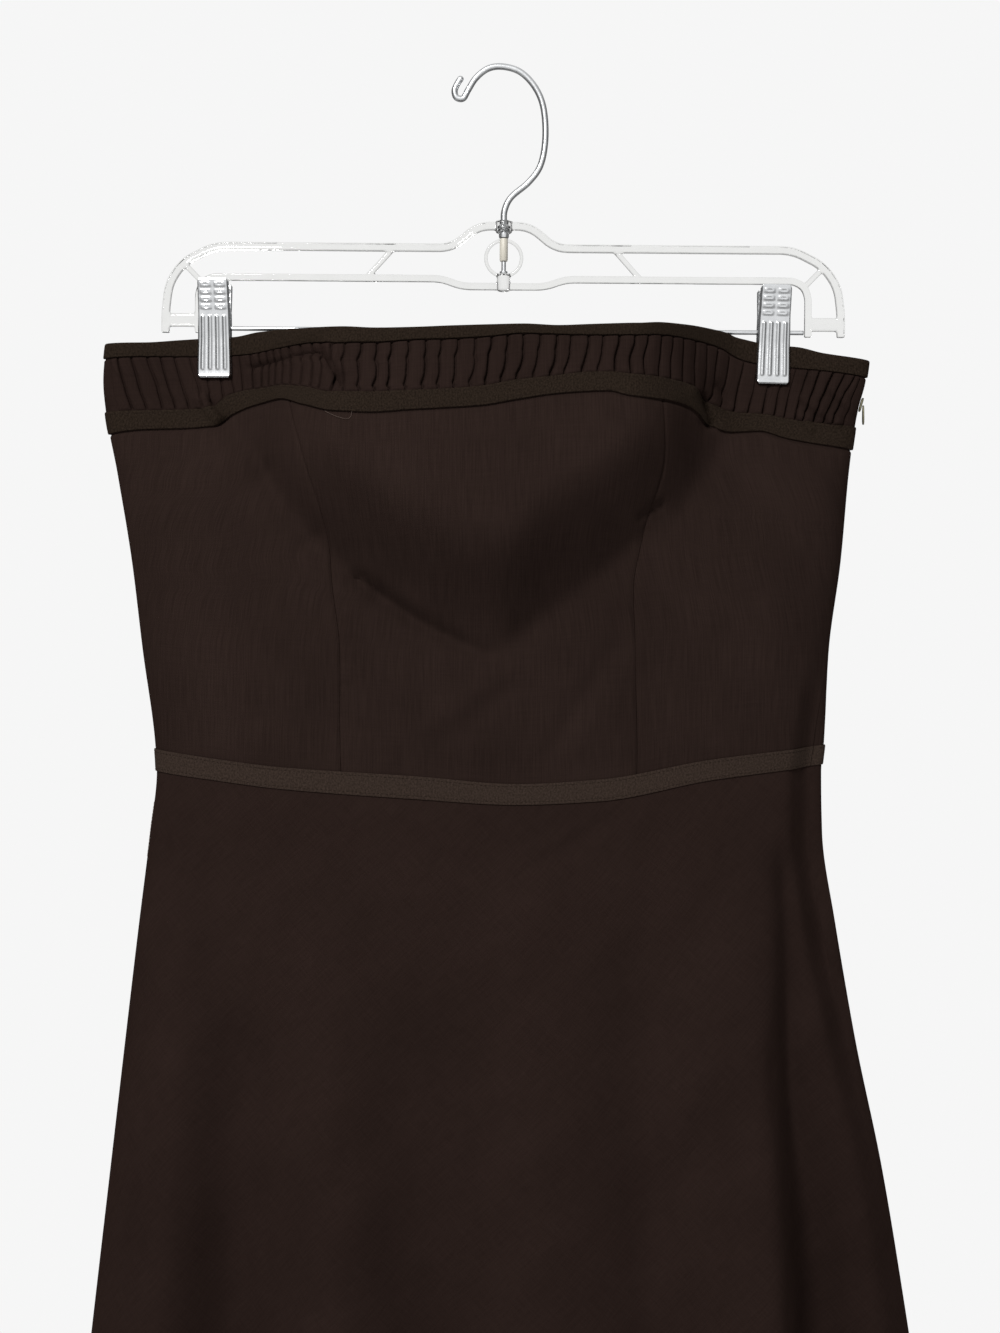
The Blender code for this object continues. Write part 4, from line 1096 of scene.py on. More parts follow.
@dataclass
class TuckedBand:
    """Band of pin tucks round the top, a front and a back."""

    drape: Drape
    finish: ClothFinish
    base: float = 0.3
    rise: float = 1.2
    trench: float = 1.7
    inner: float = -1.95
    sway: float = 0.09
    bow: float = 0.08
    edge_fade: float = 0.05

    def profile(self, share: np.ndarray) -> np.ndarray:
        """One tuck across: a slat that rises, rounds over and drops into a narrow fold."""
        places = np.array([0.0, 0.05, 0.20, 0.45, 0.66, 0.78, 0.84, 0.865, 0.91, 0.955, 1.0])
        values = np.array([-0.30, 0.08, 0.62, 1.00, 0.94, 0.72, 0.34, -0.60, -1.00, -0.95, -0.30])
        curve = smooth(share, places, values)
        return np.where(curve > 0, curve * self.rise, curve * self.trench)

    def shares(self) -> np.ndarray:
        """Columns of one tuck, closer together at its fold."""
        return np.array([0.0, 0.05, 0.15, 0.30, 0.45, 0.60, 0.70, 0.77, 0.81, 0.84,
                         0.865, 0.90, 0.935, 0.97])

    @staticmethod
    def drift(rng: np.random.Generator, tuck: np.ndarray, low: float, high: float) -> np.ndarray:
        """Random value of each tuck, running straight from one to the next."""
        values = rng.uniform(low, high, TUCKS)
        return np.interp(tuck, np.arange(TUCKS + 1.0), np.append(values, values[-1]))

    def build_side(self, side: Side, material: bpy.types.Material) -> bpy.types.Object:
        """One half of the band.

        Each tuck's columns lean across the marks with its slant and a small sway of
        its own, and the outer face stands off by the profile, less near the seams,
        the clips and the side folds.
        """
        rng = np.random.default_rng(41 if side is Side.FRONT else 67)
        tuck = (np.arange(TUCKS)[:, None] + self.shares()[None]).ravel()
        tuck = np.append(tuck, TUCKS)
        rows = np.concatenate([[0.12, 0.5, 0.9], np.linspace(0.98, 1.1, 9),
                               np.linspace(1.14, 1.86, 19), np.linspace(1.90, 2.02, 6), [2.2, 2.48]])
        down = (rows - 1.5)[:, None]
        slant = FRONT_SLANT if side is Side.FRONT else BACK_SLANT
        lean = smooth(tuck, column(slant, "mark"), column(slant, "lean"))
        ends = ease(tuck / 2.2) * ease((TUCKS - tuck) / 2.2)
        own = self.drift(rng, tuck, -self.sway, self.sway)
        curve = self.drift(rng, tuck, -self.bow, self.bow)
        turn = self.drift(rng, tuck, 0.0, 2 * math.pi)
        inside = np.clip(rows - 1.0, 0.0, 1.0)[:, None]
        shift = np.interp(tuck, np.arange(TUCKS + 1.0), rng.uniform(-0.13, 0.13, TUCKS + 1))
        marks = tuck + (shift + np.clip(down, -0.52, 0.52) * lean) * ends
        waves = own * np.sin(math.pi * inside) + curve * np.sin(2 * math.pi * inside + 0.3 * turn)
        kink = 0.38 * ease((tuck - 10) / 4) * (1 - ease((tuck - 34) / 8)) * np.ones(inside.shape)
        waves = waves + (kink if side is Side.FRONT else 0.0)
        marks = np.clip(marks + waves * ends * np.sin(math.pi * inside), 0.0, TUCKS)
        patch = self.drape.patch(side, rows, marks, SIDE_GAP)
        edge = ease((rows - 0.99) / self.edge_fade) * ease((2.01 - rows) / self.edge_fade)
        beside = ease((tuck - 0.8) / 0.5) * ease((TUCKS - 0.8 - tuck) / 0.5)
        each = rng.uniform(0.72, 1.12, TUCKS)[np.clip(np.rint(tuck).astype(int), 1, TUCKS) - 1]
        share = tuck - np.floor(tuck)
        relief = (self.profile(share) * each * beside)[None] * (0.85 + 0.15 * inside)
        seam = 0.9 * np.exp(-(((rows - 1.012) / 0.02) ** 2))[:, None]
        tight = patch.press ** 6
        free = 1 - 0.6 * patch.press ** 24
        outer = patch.lifted(self.base + relief * edge[:, None] * free - seam)
        inner = patch.lifted(-0.3 + (self.inner + 0.3) * edge[:, None] * beside * (1 - tight))
        obj = Mesher.shell(f"tucked_band_{side.value}", outer, inner, patch.flat, material, 62.0)
        dress_piece(obj, Body.GARMENT, (f"tuck_band_{side.value}",))
        return obj

    def build(self) -> None:
        """Front and back."""
        material = self.finish.build()
        for side in Side:
            self.build_side(side, material)


@dataclass
class Trim:
    """Ribbons: the binding folded over the top edge, the band's ribbon and the waist's."""

    drape: Drape
    ribbon: RibbonFinish
    waist: RibbonFinish
    thread: ThreadFinish
    step: float = 0.2

    def marks(self) -> np.ndarray:
        """Columns of every ribbon."""
        return np.linspace(0.0, TUCKS, round(TUCKS / self.step) + 1)

    def binding(self, side: Side, material: bpy.types.Material) -> bpy.types.Object:
        """Ribbon folded over the top edge, thin between the clips' jaws."""
        seams = np.array([1.0, 0.985, 0.95, 0.75, 0.5, 0.25, 0.10, 0.04, 0.01, 0.0, 0.01, 0.05,
                          0.15, 0.4, 0.7, 0.95])
        outer = np.array([1.00, 1.12, 1.20, 1.24, 1.25, 1.24, 1.18, 1.02, 0.7, 0.2, -0.35, -0.62,
                          -0.68, -0.68, -0.68, -0.66])
        inner_seams = np.array([0.998, 0.985, 0.95, 0.75, 0.5, 0.25, 0.16, 0.12, 0.10, 0.09, 0.10,
                                0.11, 0.15, 0.4, 0.7, 0.95])
        inner = np.array([0.55, 0.58, 0.62, 0.66, 0.66, 0.64, 0.60, 0.52, 0.36, 0.1, -0.20, -0.32,
                          -0.34, -0.34, -0.34, -0.34])
        face = self.drape.patch(side, seams, self.marks(), SIDE_GAP)
        lining = self.drape.patch(side, inner_seams, self.marks(), SIDE_GAP)
        thin = 1 - 0.35 * face.press
        outside, inside = (patch.lifted(lift[:, None] * np.where(lift[:, None] > 0, thin, 1.0))
                           for patch, lift in ((face, outer), (lining, inner)))
        obj = Mesher.shell(f"top_binding_{side.value}", outside, inside, face.flat, material, 60.0)
        dress_piece(obj, Body.GARMENT, (f"binding_{side.value}",))
        return obj

    def strip(self, name: str, node: str, side: Side, seams: tuple, slot: Slot,
              material: bpy.types.Material, thread: bpy.types.Material,
              stitched: tuple) -> bpy.types.Object:
        """Ribbon laid on the cloth, slightly domed, with its edges turned down.

        The lift over the cloth is a flat dome: full height inside and falling over
        the outer twelfth of the width, with a shallow dent along each stitched line.
        """
        low, high = seams
        share = np.array([0.0, 0.03, 0.08, 0.14, 0.2, 0.3, 0.42,
                          0.56, 0.7, 0.8, 0.86, 0.92, 0.97, 1.0])
        patch = self.drape.patch(side, low + (high - low) * share, self.marks(), SIDE_GAP)
        edge = np.minimum(share, 1 - share)
        lift = 1.02 + 0.18 * ease(edge / 0.08)
        dent = 0.08 * np.exp(-(((edge - 0.14) / 0.03) ** 2))
        under = 0.62 - 0.04 * ease((share - 0.6) / 0.4)
        outer = patch.lifted((lift - dent)[:, None])
        inner = patch.lifted(under[:, None])
        obj = Mesher.shell(name, outer, inner, patch.flat, material, 60.0)
        dress_piece(obj, Body.GARMENT, (node,))
        lines = [(low + (high - low) * place, 1.14) for place in stitched]
        sewing = Stitching(self.drape).build(name + "_stitches", side, lines, slot, thread)
        return obj

    def build(self) -> None:
        """All the ribbons, front and back."""
        ribbon = self.ribbon.build()
        waist = self.waist.build()
        thread = self.thread.build()
        for side in Side:
            self.binding(side, ribbon)
            for place, seams, slot, finish, inset in (
                    ("band", (2.0, 3.0), Slot.RIBBON, ribbon, 0.14),
                    ("waist", (4.0, 5.0), Slot.WAIST, waist, 0.13)):
                self.strip(f"{place}_trim_{side.value}", f"{place}_ribbon_{side.value}", side, seams,
                           slot, finish, thread, (inset, 1 - inset))


@dataclass
class Bodice:
    """Bodice panels between the band and the waist, with their princess seams."""

    drape: Drape
    finish: ClothFinish
    half: float = 0.28
    step: float = 0.25
    seam_roll: float = 0.55
    roll_width: float = 1.7
    edge_dip: float = 0.9
    gap: float = 0.12

    def panel(self, name: str, node: str, side: Side, marks: tuple, seam_ends: tuple,
              material: bpy.types.Material) -> bpy.types.Object:
        """One cut panel, rolled in a little along its princess seams.

        Args:
            name: the piece's name.
            node: the CAD node it stands for.
            side: front or back.
            marks: first and last mark.
            seam_ends: whether the first and the last edge is a princess seam.
            material: cloth finish.

        Returns:
            The panel.
        """
        low, high = marks
        columns = np.linspace(low, high, round((high - low) / self.step) + 1)
        close = np.array([0.04, 0.09, 0.15])
        if seam_ends[0]:
            columns = np.union1d(columns, low + close)
        if seam_ends[1]:
            columns = np.union1d(columns, high - close)
        rows = np.union1d(rows_between(2.52, 4.48, (0, 0, 6, 84, 6)), np.linspace(2.985, 3.02, 8))
        patch = self.drape.patch(side, rows, columns, self.gap)
        from_left = patch.flat[..., 0] - patch.flat[:, :1, 0]
        from_right = patch.flat[:, -1:, 0] - patch.flat[..., 0]
        dip = np.zeros(from_left.shape)
        if seam_ends[0]:
            dip = np.maximum(dip, 1 - ease(from_left / self.roll_width))
        if seam_ends[1]:
            dip = np.maximum(dip, 1 - ease(from_right / self.roll_width))
        tuck_in = np.exp(-(((rows - 3.003) / 0.005) ** 2))[:, None]
        sag = self.seam_roll * dip + self.edge_dip * tuck_in
        outer = patch.lifted(self.half - sag)
        inner = patch.lifted(-self.half - sag)
        obj = Mesher.shell(name, outer, inner, patch.flat, material)
        dress_piece(obj, Body.GARMENT, (node,))
        return obj

    def build(self) -> None:
        """Three front panels and the back."""
        material = self.finish.build()
        left, right = self.drape.left_princess, self.drape.right_princess
        for label, node, side, marks, seam_ends in (
                ("left", "side_front_left", Side.FRONT, (0.0, left), (False, True)),
                ("centre", "centre_front", Side.FRONT, (left, right), (True, True)),
                ("right", "side_front_right", Side.FRONT, (right, TUCKS), (True, False)),
                ("back", "back", Side.BACK, (0.0, TUCKS), (False, False))):
            self.panel(f"bodice_panel_{label}", f"bodice_{node}", side, marks, seam_ends, material)


@dataclass
class Skirt:
    """Skirt panels from the waist to the hem, cut on the bias."""

    drape: Drape
    finish: ClothFinish
    thread: ThreadFinish
    half: float = 0.28
    step: float = 0.4
    hem_thick: float = 0.2
    gap: float = 0.02

    def panel(self, side: Side, material: bpy.types.Material) -> bpy.types.Object:
        """One panel, a little thicker over the turned hem."""
        columns = np.union1d(np.linspace(0.0, TUCKS, round(TUCKS / self.step) + 1),
                             np.array([0.1, 0.2, 0.3, 59.7, 59.8, 59.9]))
        rows = np.unique(np.concatenate([rows_between(4.52, 6.0, (0, 0, 0, 0, 6, 0)),
                                         np.linspace(5.0, 5.14, 26), np.linspace(5.14, 6.0, 96)]))
        patch = self.drape.patch(side, rows, columns, self.gap)
        fold = self.hem_thick * ease((rows - 5.975) / 0.004)[:, None]
        outer = patch.lifted(self.half + fold)
        inner = patch.lifted(-self.half - fold)
        obj = Mesher.shell(f"skirt_panel_{side.value}", outer, inner, patch.flat, material)
        dress_piece(obj, Body.GARMENT, (f"skirt_{side.value}",))
        return obj

    def basting(self) -> bpy.types.Object:
        """Short ladder of pale stitches on the left fold below the waist."""
        count = 15
        seams = np.linspace(5.028, 5.071, count)
        patch = self.drape.patch(Side.FRONT, seams, np.array([0.15, 0.35, 0.55]))
        middle = patch.lifted(self.half + 0.12)[:, 1]
        ahead = unit(np.gradient(middle, axis=0))
        out = patch.out[:, 1]
        turn = np.where(np.arange(count) % 2 == 0, 0.75, -0.75)[:, None]
        along = unit(ahead + np.cross(out, ahead) * turn)
        frames = np.stack([along, np.cross(out, along), out], axis=1)
        template, faces = Mesher.seed(2.6, 0.16, 0.14)
        obj = Mesher.copies("side_basting", template, faces, middle, frames, self.thread.build())
        return dress_piece(obj, Body.GARMENT)

    def build(self) -> None:
        """Front, back and the pale stitches."""
        material = self.finish.build()
        for side in Side:
            self.panel(side, material)
        self.basting()


@dataclass
class LooseThread:
    """Pale curled thread end at the ribbon's lower edge."""

    drape: Drape
    thread: ThreadFinish
    radius: float = 0.075

    def build(self) -> None:
        """Tube along a small open curl that lies on the bodice."""
        turn = np.linspace(0.0, 1.0, 60)
        seams = 2.999 + 0.022 * np.sin(math.pi * turn ** 0.7) + 0.006 * turn
        marks = 22.4 - 2.0 * turn + 0.2 * np.sin(math.pi * turn)
        patch = self.drape.patch(Side.FRONT, seams, np.repeat(marks[:, None], 2, axis=1))
        path = patch.lifted(0.75 + 0.5 * np.sin(math.pi * turn)[:, None])[:, 0]
        sizes = np.full((len(path), 2), self.radius)
        obj = Mesher.swept("loose_thread", path, sizes, self.thread.build(), 8)
        dress_piece(obj, Body.GARMENT)


@dataclass
class SideZip:
    """Zip in the side seam: tape and teeth inside, slider and pull outside."""

    drape: Drape
    tape: ClothFinish
    metal: MetalFinish
    teeth_pitch: float = 1.3

    def tape_piece(self) -> None:
        """Woven tape just inside the seam, from the top to below the waist."""
        seams = rows_between(0.3, 5.33, (6, 12, 6, 60, 8, 90))
        front = self.drape.patch(Side.FRONT, seams, np.array([59.28, 59.5, 59.7, 59.85, 60.0]))
        back = self.drape.patch(Side.BACK, seams, np.array([0.0, 0.15, 0.3, 0.5, 0.72]))
        points = np.concatenate([front.points, back.points[:, 1:]], axis=1)
        out = np.concatenate([front.out, back.out[:, 1:]], axis=1)
        fold = front.flat[:, -1:] - back.flat[:, :1]
        flat = np.concatenate([front.flat, back.flat[:, 1:] + fold * [1.0, 0.0]], axis=1)
        tape = Patch(points, out, flat, np.zeros(points.shape[:2]))
        obj = Mesher.shell("zip_tape", tape.lifted(-0.8), tape.lifted(-1.3), flat, self.tape.build())
        dress_piece(obj, Body.GARMENT, ("side_zip",))
        teeth = self.teeth(tape)

    def teeth(self, tape: Patch) -> bpy.types.Object:
        """Row of small coils down the middle of the tape's inner face."""
        line = tape.lifted(-1.65)[:, 4]
        run = running(line)
        at = np.arange(6.0, run[-1] - 4.0, self.teeth_pitch)
        middle = read_line(at, run, line)
        out = unit(read_line(at, run, tape.out[:, 4]))
        ahead = unit(np.gradient(middle, axis=0))
        across = unit(np.cross(out, ahead))
        frames = np.stack([across, ahead, np.cross(across, ahead)], axis=1)
        template, faces = Mesher.seed(2.6, 0.42, 0.3)
        obj = Mesher.copies("zip_teeth", template, faces, middle, frames, self.metal.build())
        return dress_piece(obj, Body.GARMENT)

    def plate(self, name: str, body: Body, node: str, outline: np.ndarray, faces_at: tuple,
              depth: float, edge: float, leaning: bool) -> None:
        """Small flat piece on the seam with rounded faces.

        Rings of the outline shrink towards both faces along a quarter circle, and
        each face is closed by a middle point.

        Args:
            name: the piece's name.
            body: body it rides on.
            node: the CAD node it stands for.
            outline: points across and up.
            faces_at: places of the inner and the outer face, off the seam if it leans.
            depth: place from front to back.
            edge: radius of the rounded edges.
            leaning: whether the piece follows the side seam's slope.
        """
        low, high = faces_at
        angle = np.linspace(0.0, math.pi / 2, 5)
        rise = np.concatenate([low + edge * (1 - np.cos(angle)), high - edge * (1 - np.cos(angle[::-1]))])
        inset = edge * np.concatenate([1 - np.sin(angle), 1 - np.sin(angle[::-1])])
        centre = (outline.max(0) + outline.min(0)) / 2
        reach = np.linalg.norm(outline - centre, axis=1)
        size = 1 - inset[:, None] / reach[None]
        flat = centre + (outline - centre)[None] * size[..., None]
        flat = np.concatenate([np.broadcast_to(centre, flat[:1].shape), flat,
                               np.broadcast_to(centre, flat[:1].shape)])
        x = np.concatenate([[low], rise, [high]])[:, None] + 0.0 * flat[..., 0]
        if leaning:
            x = x + by_height(WIDTHS, "right", flat[..., 1])
        points = np.stack([x, flat[..., 0] + depth, flat[..., 1]], axis=-1)
        obj = Mesher.make(name, points.reshape(-1, 3),
                          Mesher.quads(len(points), len(outline), close=True), self.metal.build())
        Mesher.clean(obj)
        dress_piece(obj, body, (node,))

    def build(self) -> None:
        """Tape, teeth, slider and pull."""
        self.tape_piece()
        slider, pull = (np.array([tuple(corner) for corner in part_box(node)]) / MM
                        for node in ("zip_slider", "zip_pull"))
        angle = np.linspace(0, 2 * math.pi, 40, endpoint=False)
        tall, middle = (slider[1, 2] - slider[0, 2]) / 2, (slider[1, 2] + slider[0, 2]) / 2
        waist = 1 - 0.18 * np.cos(angle * 2 + math.pi) ** 2
        body = np.stack([1.9 * np.cos(angle) * waist, middle + tall * np.sin(angle)], axis=1)
        depth = (slider[0, 1] + slider[1, 1]) / 2
        self.plate("zip_slider_body", Body.GARMENT, "zip_slider", body, (0.72, 1.8), depth, 0.3, True)
        tall, middle = (pull[1, 2] - pull[0, 2]) / 2, (pull[1, 2] + pull[0, 2]) / 2
        width = 1.0 + 0.62 * (1 - np.sin(angle)) / 2
        tab = np.stack([width * np.cos(angle), middle + tall * np.sin(angle)], axis=1)
        self.plate("zip_pull_tab", Body.PULL, "zip_pull", tab, (pull[0, 0], pull[1, 0]), depth, 0.3,
                   False)


@dataclass
class Hanger:
    """Clear clip hanger: frame, hook, ferrule, rod and clips."""

    clear: ClearFinish
    metal: MetalFinish
    sleeve: PlainFinish
    tilt: float = HANGER_TILT
    centre: float = 1.2
    rod_half: float = 162.2
    rod_radius: float = 1.2
    wire_radius: float = 1.7
    ring_height: float = -101.5
    ring_radius: float = 10.6
    voxel: float = 0.5
    top_bar: tuple = ((14.0, -84.2), (28.0, -96.1), (156.0, -96.1), (172.5, -104.5),
                      (180.5, -116.0), (182.3, -131.0), (182.3, -143.0))
    low_bar: tuple = ((22.5, -116.9), (33.5, -112.8), (157.0, -112.8), (162.5, -116.0),
                      (164.5, -121.5), (164.5, -143.0))
    corner_strut: tuple = ((173.2, -105.0), (162.6, -115.8))
    middle_strut: tuple = ((60.5, -97.5), (73.0, -111.5))
    end_stub: tuple = ((182.0, -136.2), (164.8, -136.2))
    top_boss: tuple = ((4.3, -81.5), (4.4, -82.0), (4.4, -87.5), (3.9, -88.0))
    low_boss: tuple = ((3.5, -110.2), (3.6, -110.8), (3.6, -118.5), (2.9, -119.4))
    hook: tuple = ((1.2, -83.6), (1.4, -76.0), (5.0, -68.5), (14.5, -60.2), (20.8, -50.8),
                   (23.2, -36.2), (22.0, -20.0), (17.4, -9.0), (9.5, -0.9), (0.0, 2.0),
                   (-8.0, 0.9), (-14.5, -4.2), (-18.6, -10.6), (-21.4, -15.3), (-25.0, -14.8),
                   (-26.0, -11.0), (-24.0, -6.4), (-21.8, -3.6))

    def tilted(self, points: np.ndarray) -> np.ndarray:
        """Points turned a little clockwise about the rail, as the hanger hangs."""
        x, y, z = points[..., 0], points[..., 1], points[..., 2]
        cos, sin = math.cos(self.tilt), math.sin(self.tilt)
        return np.stack([x * cos + z * sin, y, z * cos - x * sin], axis=-1)

    @staticmethod
    def curve(knots: np.ndarray, steps: int) -> np.ndarray:
        """Rounded curve through knots: each piece a cubic of the four knots round it."""
        padded = np.concatenate([2 * knots[:1] - knots[1:2], knots, 2 * knots[-1:] - knots[-2:-1]])
        t = (np.arange(steps) / steps)[None, :, None]
        a, b, c, d = (padded[k:len(padded) - 3 + k, None] for k in range(4))
        pieces = 0.5 * (2 * b + (c - a) * t + (2 * a - 5 * b + 4 * c - d) * t ** 2
                        + (3 * b - a - 3 * c + d) * t ** 3)
        return np.concatenate([pieces.reshape(-1, knots.shape[1]), knots[-1:]])

    @staticmethod
    def rounded_path(knots: np.ndarray, radius: float) -> np.ndarray:
        """Path with each corner taken round by a quarter-like curve of its own."""
        points = [knots[:1]]
        t = np.linspace(0.0, 1.0, 9)[:, None]
        for k in range(1, len(knots) - 1):
            before = knots[k - 1] - knots[k]
            after = knots[k + 1] - knots[k]
            cut = min(radius, 0.45 * np.linalg.norm(before), 0.45 * np.linalg.norm(after))
            start = knots[k] + unit(before) * cut
            end = knots[k] + unit(after) * cut
            points.append(start * (1 - t) ** 2 + 2 * knots[k] * t * (1 - t) + end * t ** 2)
        points.append(knots[-1:])
        path = np.concatenate(points)
        run = running(path)
        return read_line(np.linspace(0.0, run[-1], max(3, int(run[-1] / 1.5))), run, path)

    def bar(self, knots: np.ndarray, wide: float, thick: float,
            hollow: float) -> tuple[np.ndarray, np.ndarray]:
        """Bar along a flat path, its faces slightly hollow between two raised edges.

        The section is a rounded rectangle: a power-four oval with its flat faces
        drawn in at the middle.
        """
        path = self.rounded_path(knots, 7.0)
        ahead = unit(np.gradient(path, axis=0))
        side = np.stack([ahead[:, 1], -ahead[:, 0]], axis=1)
        angle = np.linspace(0, 2 * math.pi, 28, endpoint=False)
        size = (np.abs(np.cos(angle)) ** 5 + np.abs(np.sin(angle)) ** 5) ** (-1 / 5)
        across = size * np.cos(angle) * wide / 2
        deep = size * np.sin(angle) * thick / 2
        deep = deep * (1 - hollow * np.exp(-((across / (0.26 * wide)) ** 2)))
        flat = path[:, None] + side[:, None] * across[None, :, None]
        y = np.broadcast_to(deep, flat.shape[:2])
        points = np.stack([flat[..., 0], y, flat[..., 1]], axis=-1)
        caps = [np.stack([p[0], 0.0 * p[0], p[1]]) for p in (path[0], path[-1])]
        points = np.concatenate([np.tile(caps[0], (1, len(angle), 1)), points,
                                 np.tile(caps[1], (1, len(angle), 1))])
        return points.reshape(-1, 3), Mesher.quads(len(points), len(angle), close=True)

    def turned(self, profile: np.ndarray, sides: int = 32) -> tuple[np.ndarray, np.ndarray]:
        """Solid turned about the hanger's upright axis from radii and heights."""
        angle = np.linspace(0, 2 * math.pi, sides, endpoint=False)
        closed = np.concatenate([[[0.0, profile[0, 1]]], profile, [[0.0, profile[-1, 1]]]])
        points = np.stack([self.centre + closed[:, :1] * np.cos(angle),
                           closed[:, :1] * np.sin(angle),
                           np.broadcast_to(closed[:, 1:], (len(closed), sides))], axis=-1)
        return points.reshape(-1, 3), Mesher.quads(len(closed), sides, close=True)

    def ring(self) -> tuple[np.ndarray, np.ndarray]:
        """Round rim at the centre of the frame, an oval section carried round a circle."""
        round_ = np.linspace(0, 2 * math.pi, 72, endpoint=False)[:, None]
        angle = np.linspace(0, 2 * math.pi, 16, endpoint=False)[None]
        reach = self.ring_radius - 0.95 + 0.95 * np.cos(angle)
        points = np.stack([self.centre + reach * np.cos(round_), 1.3 * np.sin(angle) + 0 * round_,
                           self.ring_height + reach * np.sin(round_)], axis=-1)
        points = np.concatenate([points, points[:1]])
        return points.reshape(-1, 3), Mesher.quads(len(points), 16, close=True)

    def frame(self) -> None:
        """Whole clear frame, its parts melted together on a fine grid and smoothed."""
        solids = []
        for knots, wide, thick, hollow in ((self.top_bar, 4.3, 4.4, 0.22),
                                           (self.low_bar, 3.8, 3.9, 0.2)):
            half = np.array(knots)
            both = np.concatenate([(half * [-1, 1])[::-1], half]) + [self.centre, 0]
            solids.append(self.bar(both, wide, thick, hollow))
        for knots, wide, thick in ((self.corner_strut, 2.8, 3.0), (self.middle_strut, 2.8, 3.0),
                                   (self.end_stub, 7.2, 3.4)):
            for sign in (-1, 1):
                path = np.array(knots) * [sign, 1] + [self.centre, 0]
                solids.append(self.bar(path, wide, thick, 0.0))
        solids.append(self.ring())
        for boss in (self.top_boss, self.low_boss):
            solids.append(self.turned(np.array(boss)))
        points, faces, count = [], [], 0
        for solid, face in solids:
            points.append(solid)
            faces.append(face + count)
            count += len(solid)
        material = self.clear.build()
        rough = Mesher.make("frame_draft", self.tilted(np.concatenate(points)), np.concatenate(faces),
                            material)
        Mesher.clean(rough)
        melt = rough.modifiers.new("melt", "REMESH")
        melt.mode = "VOXEL"
        melt.voxel_size = self.voxel * MM
        even = rough.modifiers.new("even", "SMOOTH")
        even.factor = 0.5
        even.iterations = 4
        graph = bpy.context.evaluated_depsgraph_get()
        mesh = bpy.data.meshes.new_from_object(rough.evaluated_get(graph))
        mesh.name = "clear_frame"
        mesh.shade_smooth()
        obj = bpy.data.objects.new("clear_frame", mesh)
        bpy.context.scene.collection.objects.link(obj)
        bpy.data.objects.remove(rough, do_unlink=True)
        dress_piece(obj, Body.GARMENT, ("hanger_frame",))

    def hook_wire(self, material: bpy.types.Material) -> None:
        """Bent wire hook with a round end."""
        path = self.curve(np.array(self.hook), 12)
        path = np.stack([path[:, 0], np.zeros(len(path)), path[:, 1]], axis=1)
        run = running(path)
        tip = np.clip((run[-1] - run) / self.wire_radius, 0.0, 1.0)
        size = self.wire_radius * np.sqrt(1 - (1 - tip) ** 2 * 0.98)
        obj = Mesher.swept("hook_wire", self.tilted(path), np.stack([size, size], axis=1), material, 20)
        dress_piece(obj, Body.GARMENT, ("hanger_hook",))

    def fittings(self, material: bpy.types.Material) -> None:
        """Ferrule, pale sleeve and stem under the hook."""
        parts = (
            ("hook_ferrule_cap", material, Slot.METAL, ("hook_ferrule",),
             ((1.9, -83.9), (2.6, -84.6), (2.7, -85.2), (2.35, -86.0), (2.7, -86.8), (2.7, -90.0),
              (2.5, -90.6))),
            ("hook_sleeve", self.sleeve.build(), Slot.CLEAR, (),
             ((2.0, -91.0), (2.2, -91.5), (2.2, -102.4), (1.9, -103.2))),
            ("hook_stem", material, Slot.METAL, (),
             ((1.2, -103.6), (1.2, -108.4), (2.1, -108.8), (2.1, -109.7))),
        )
        for name, finish, slot, nodes, profile in parts:
            points, faces = self.turned(np.array(profile))
            obj = Mesher.make(name, self.tilted(points), faces, finish, sharp=35.0)
            Mesher.clean(obj)
            dress_piece(obj, Body.GARMENT, nodes)

    def rod(self, material: bpy.types.Material) -> None:
        """Straight metal rod that carries the clips."""
        x = self.centre + np.concatenate([[-self.rod_half, -self.rod_half + 0.15],
                                          np.linspace(-self.rod_half + 1, self.rod_half - 1, 40),
                                          [self.rod_half - 0.15, self.rod_half]])
        path = np.stack([x, np.zeros(len(x)), np.full(len(x), ROD_HEIGHT)], axis=1)
        size = np.full((len(x), 2), self.rod_radius)
        size[[0, -1]] = self.rod_radius * 0.85
        obj = Mesher.swept("clip_bar", self.tilted(path), size, material, 24)
        dress_piece(obj, Body.GARMENT, ("clip_rod",))

    def build(self) -> None:
        """Frame, wire, fittings and rod."""
        material = self.metal.build()
        self.frame()
        self.hook_wire(material)
        self.fittings(material)
        self.rod(material)


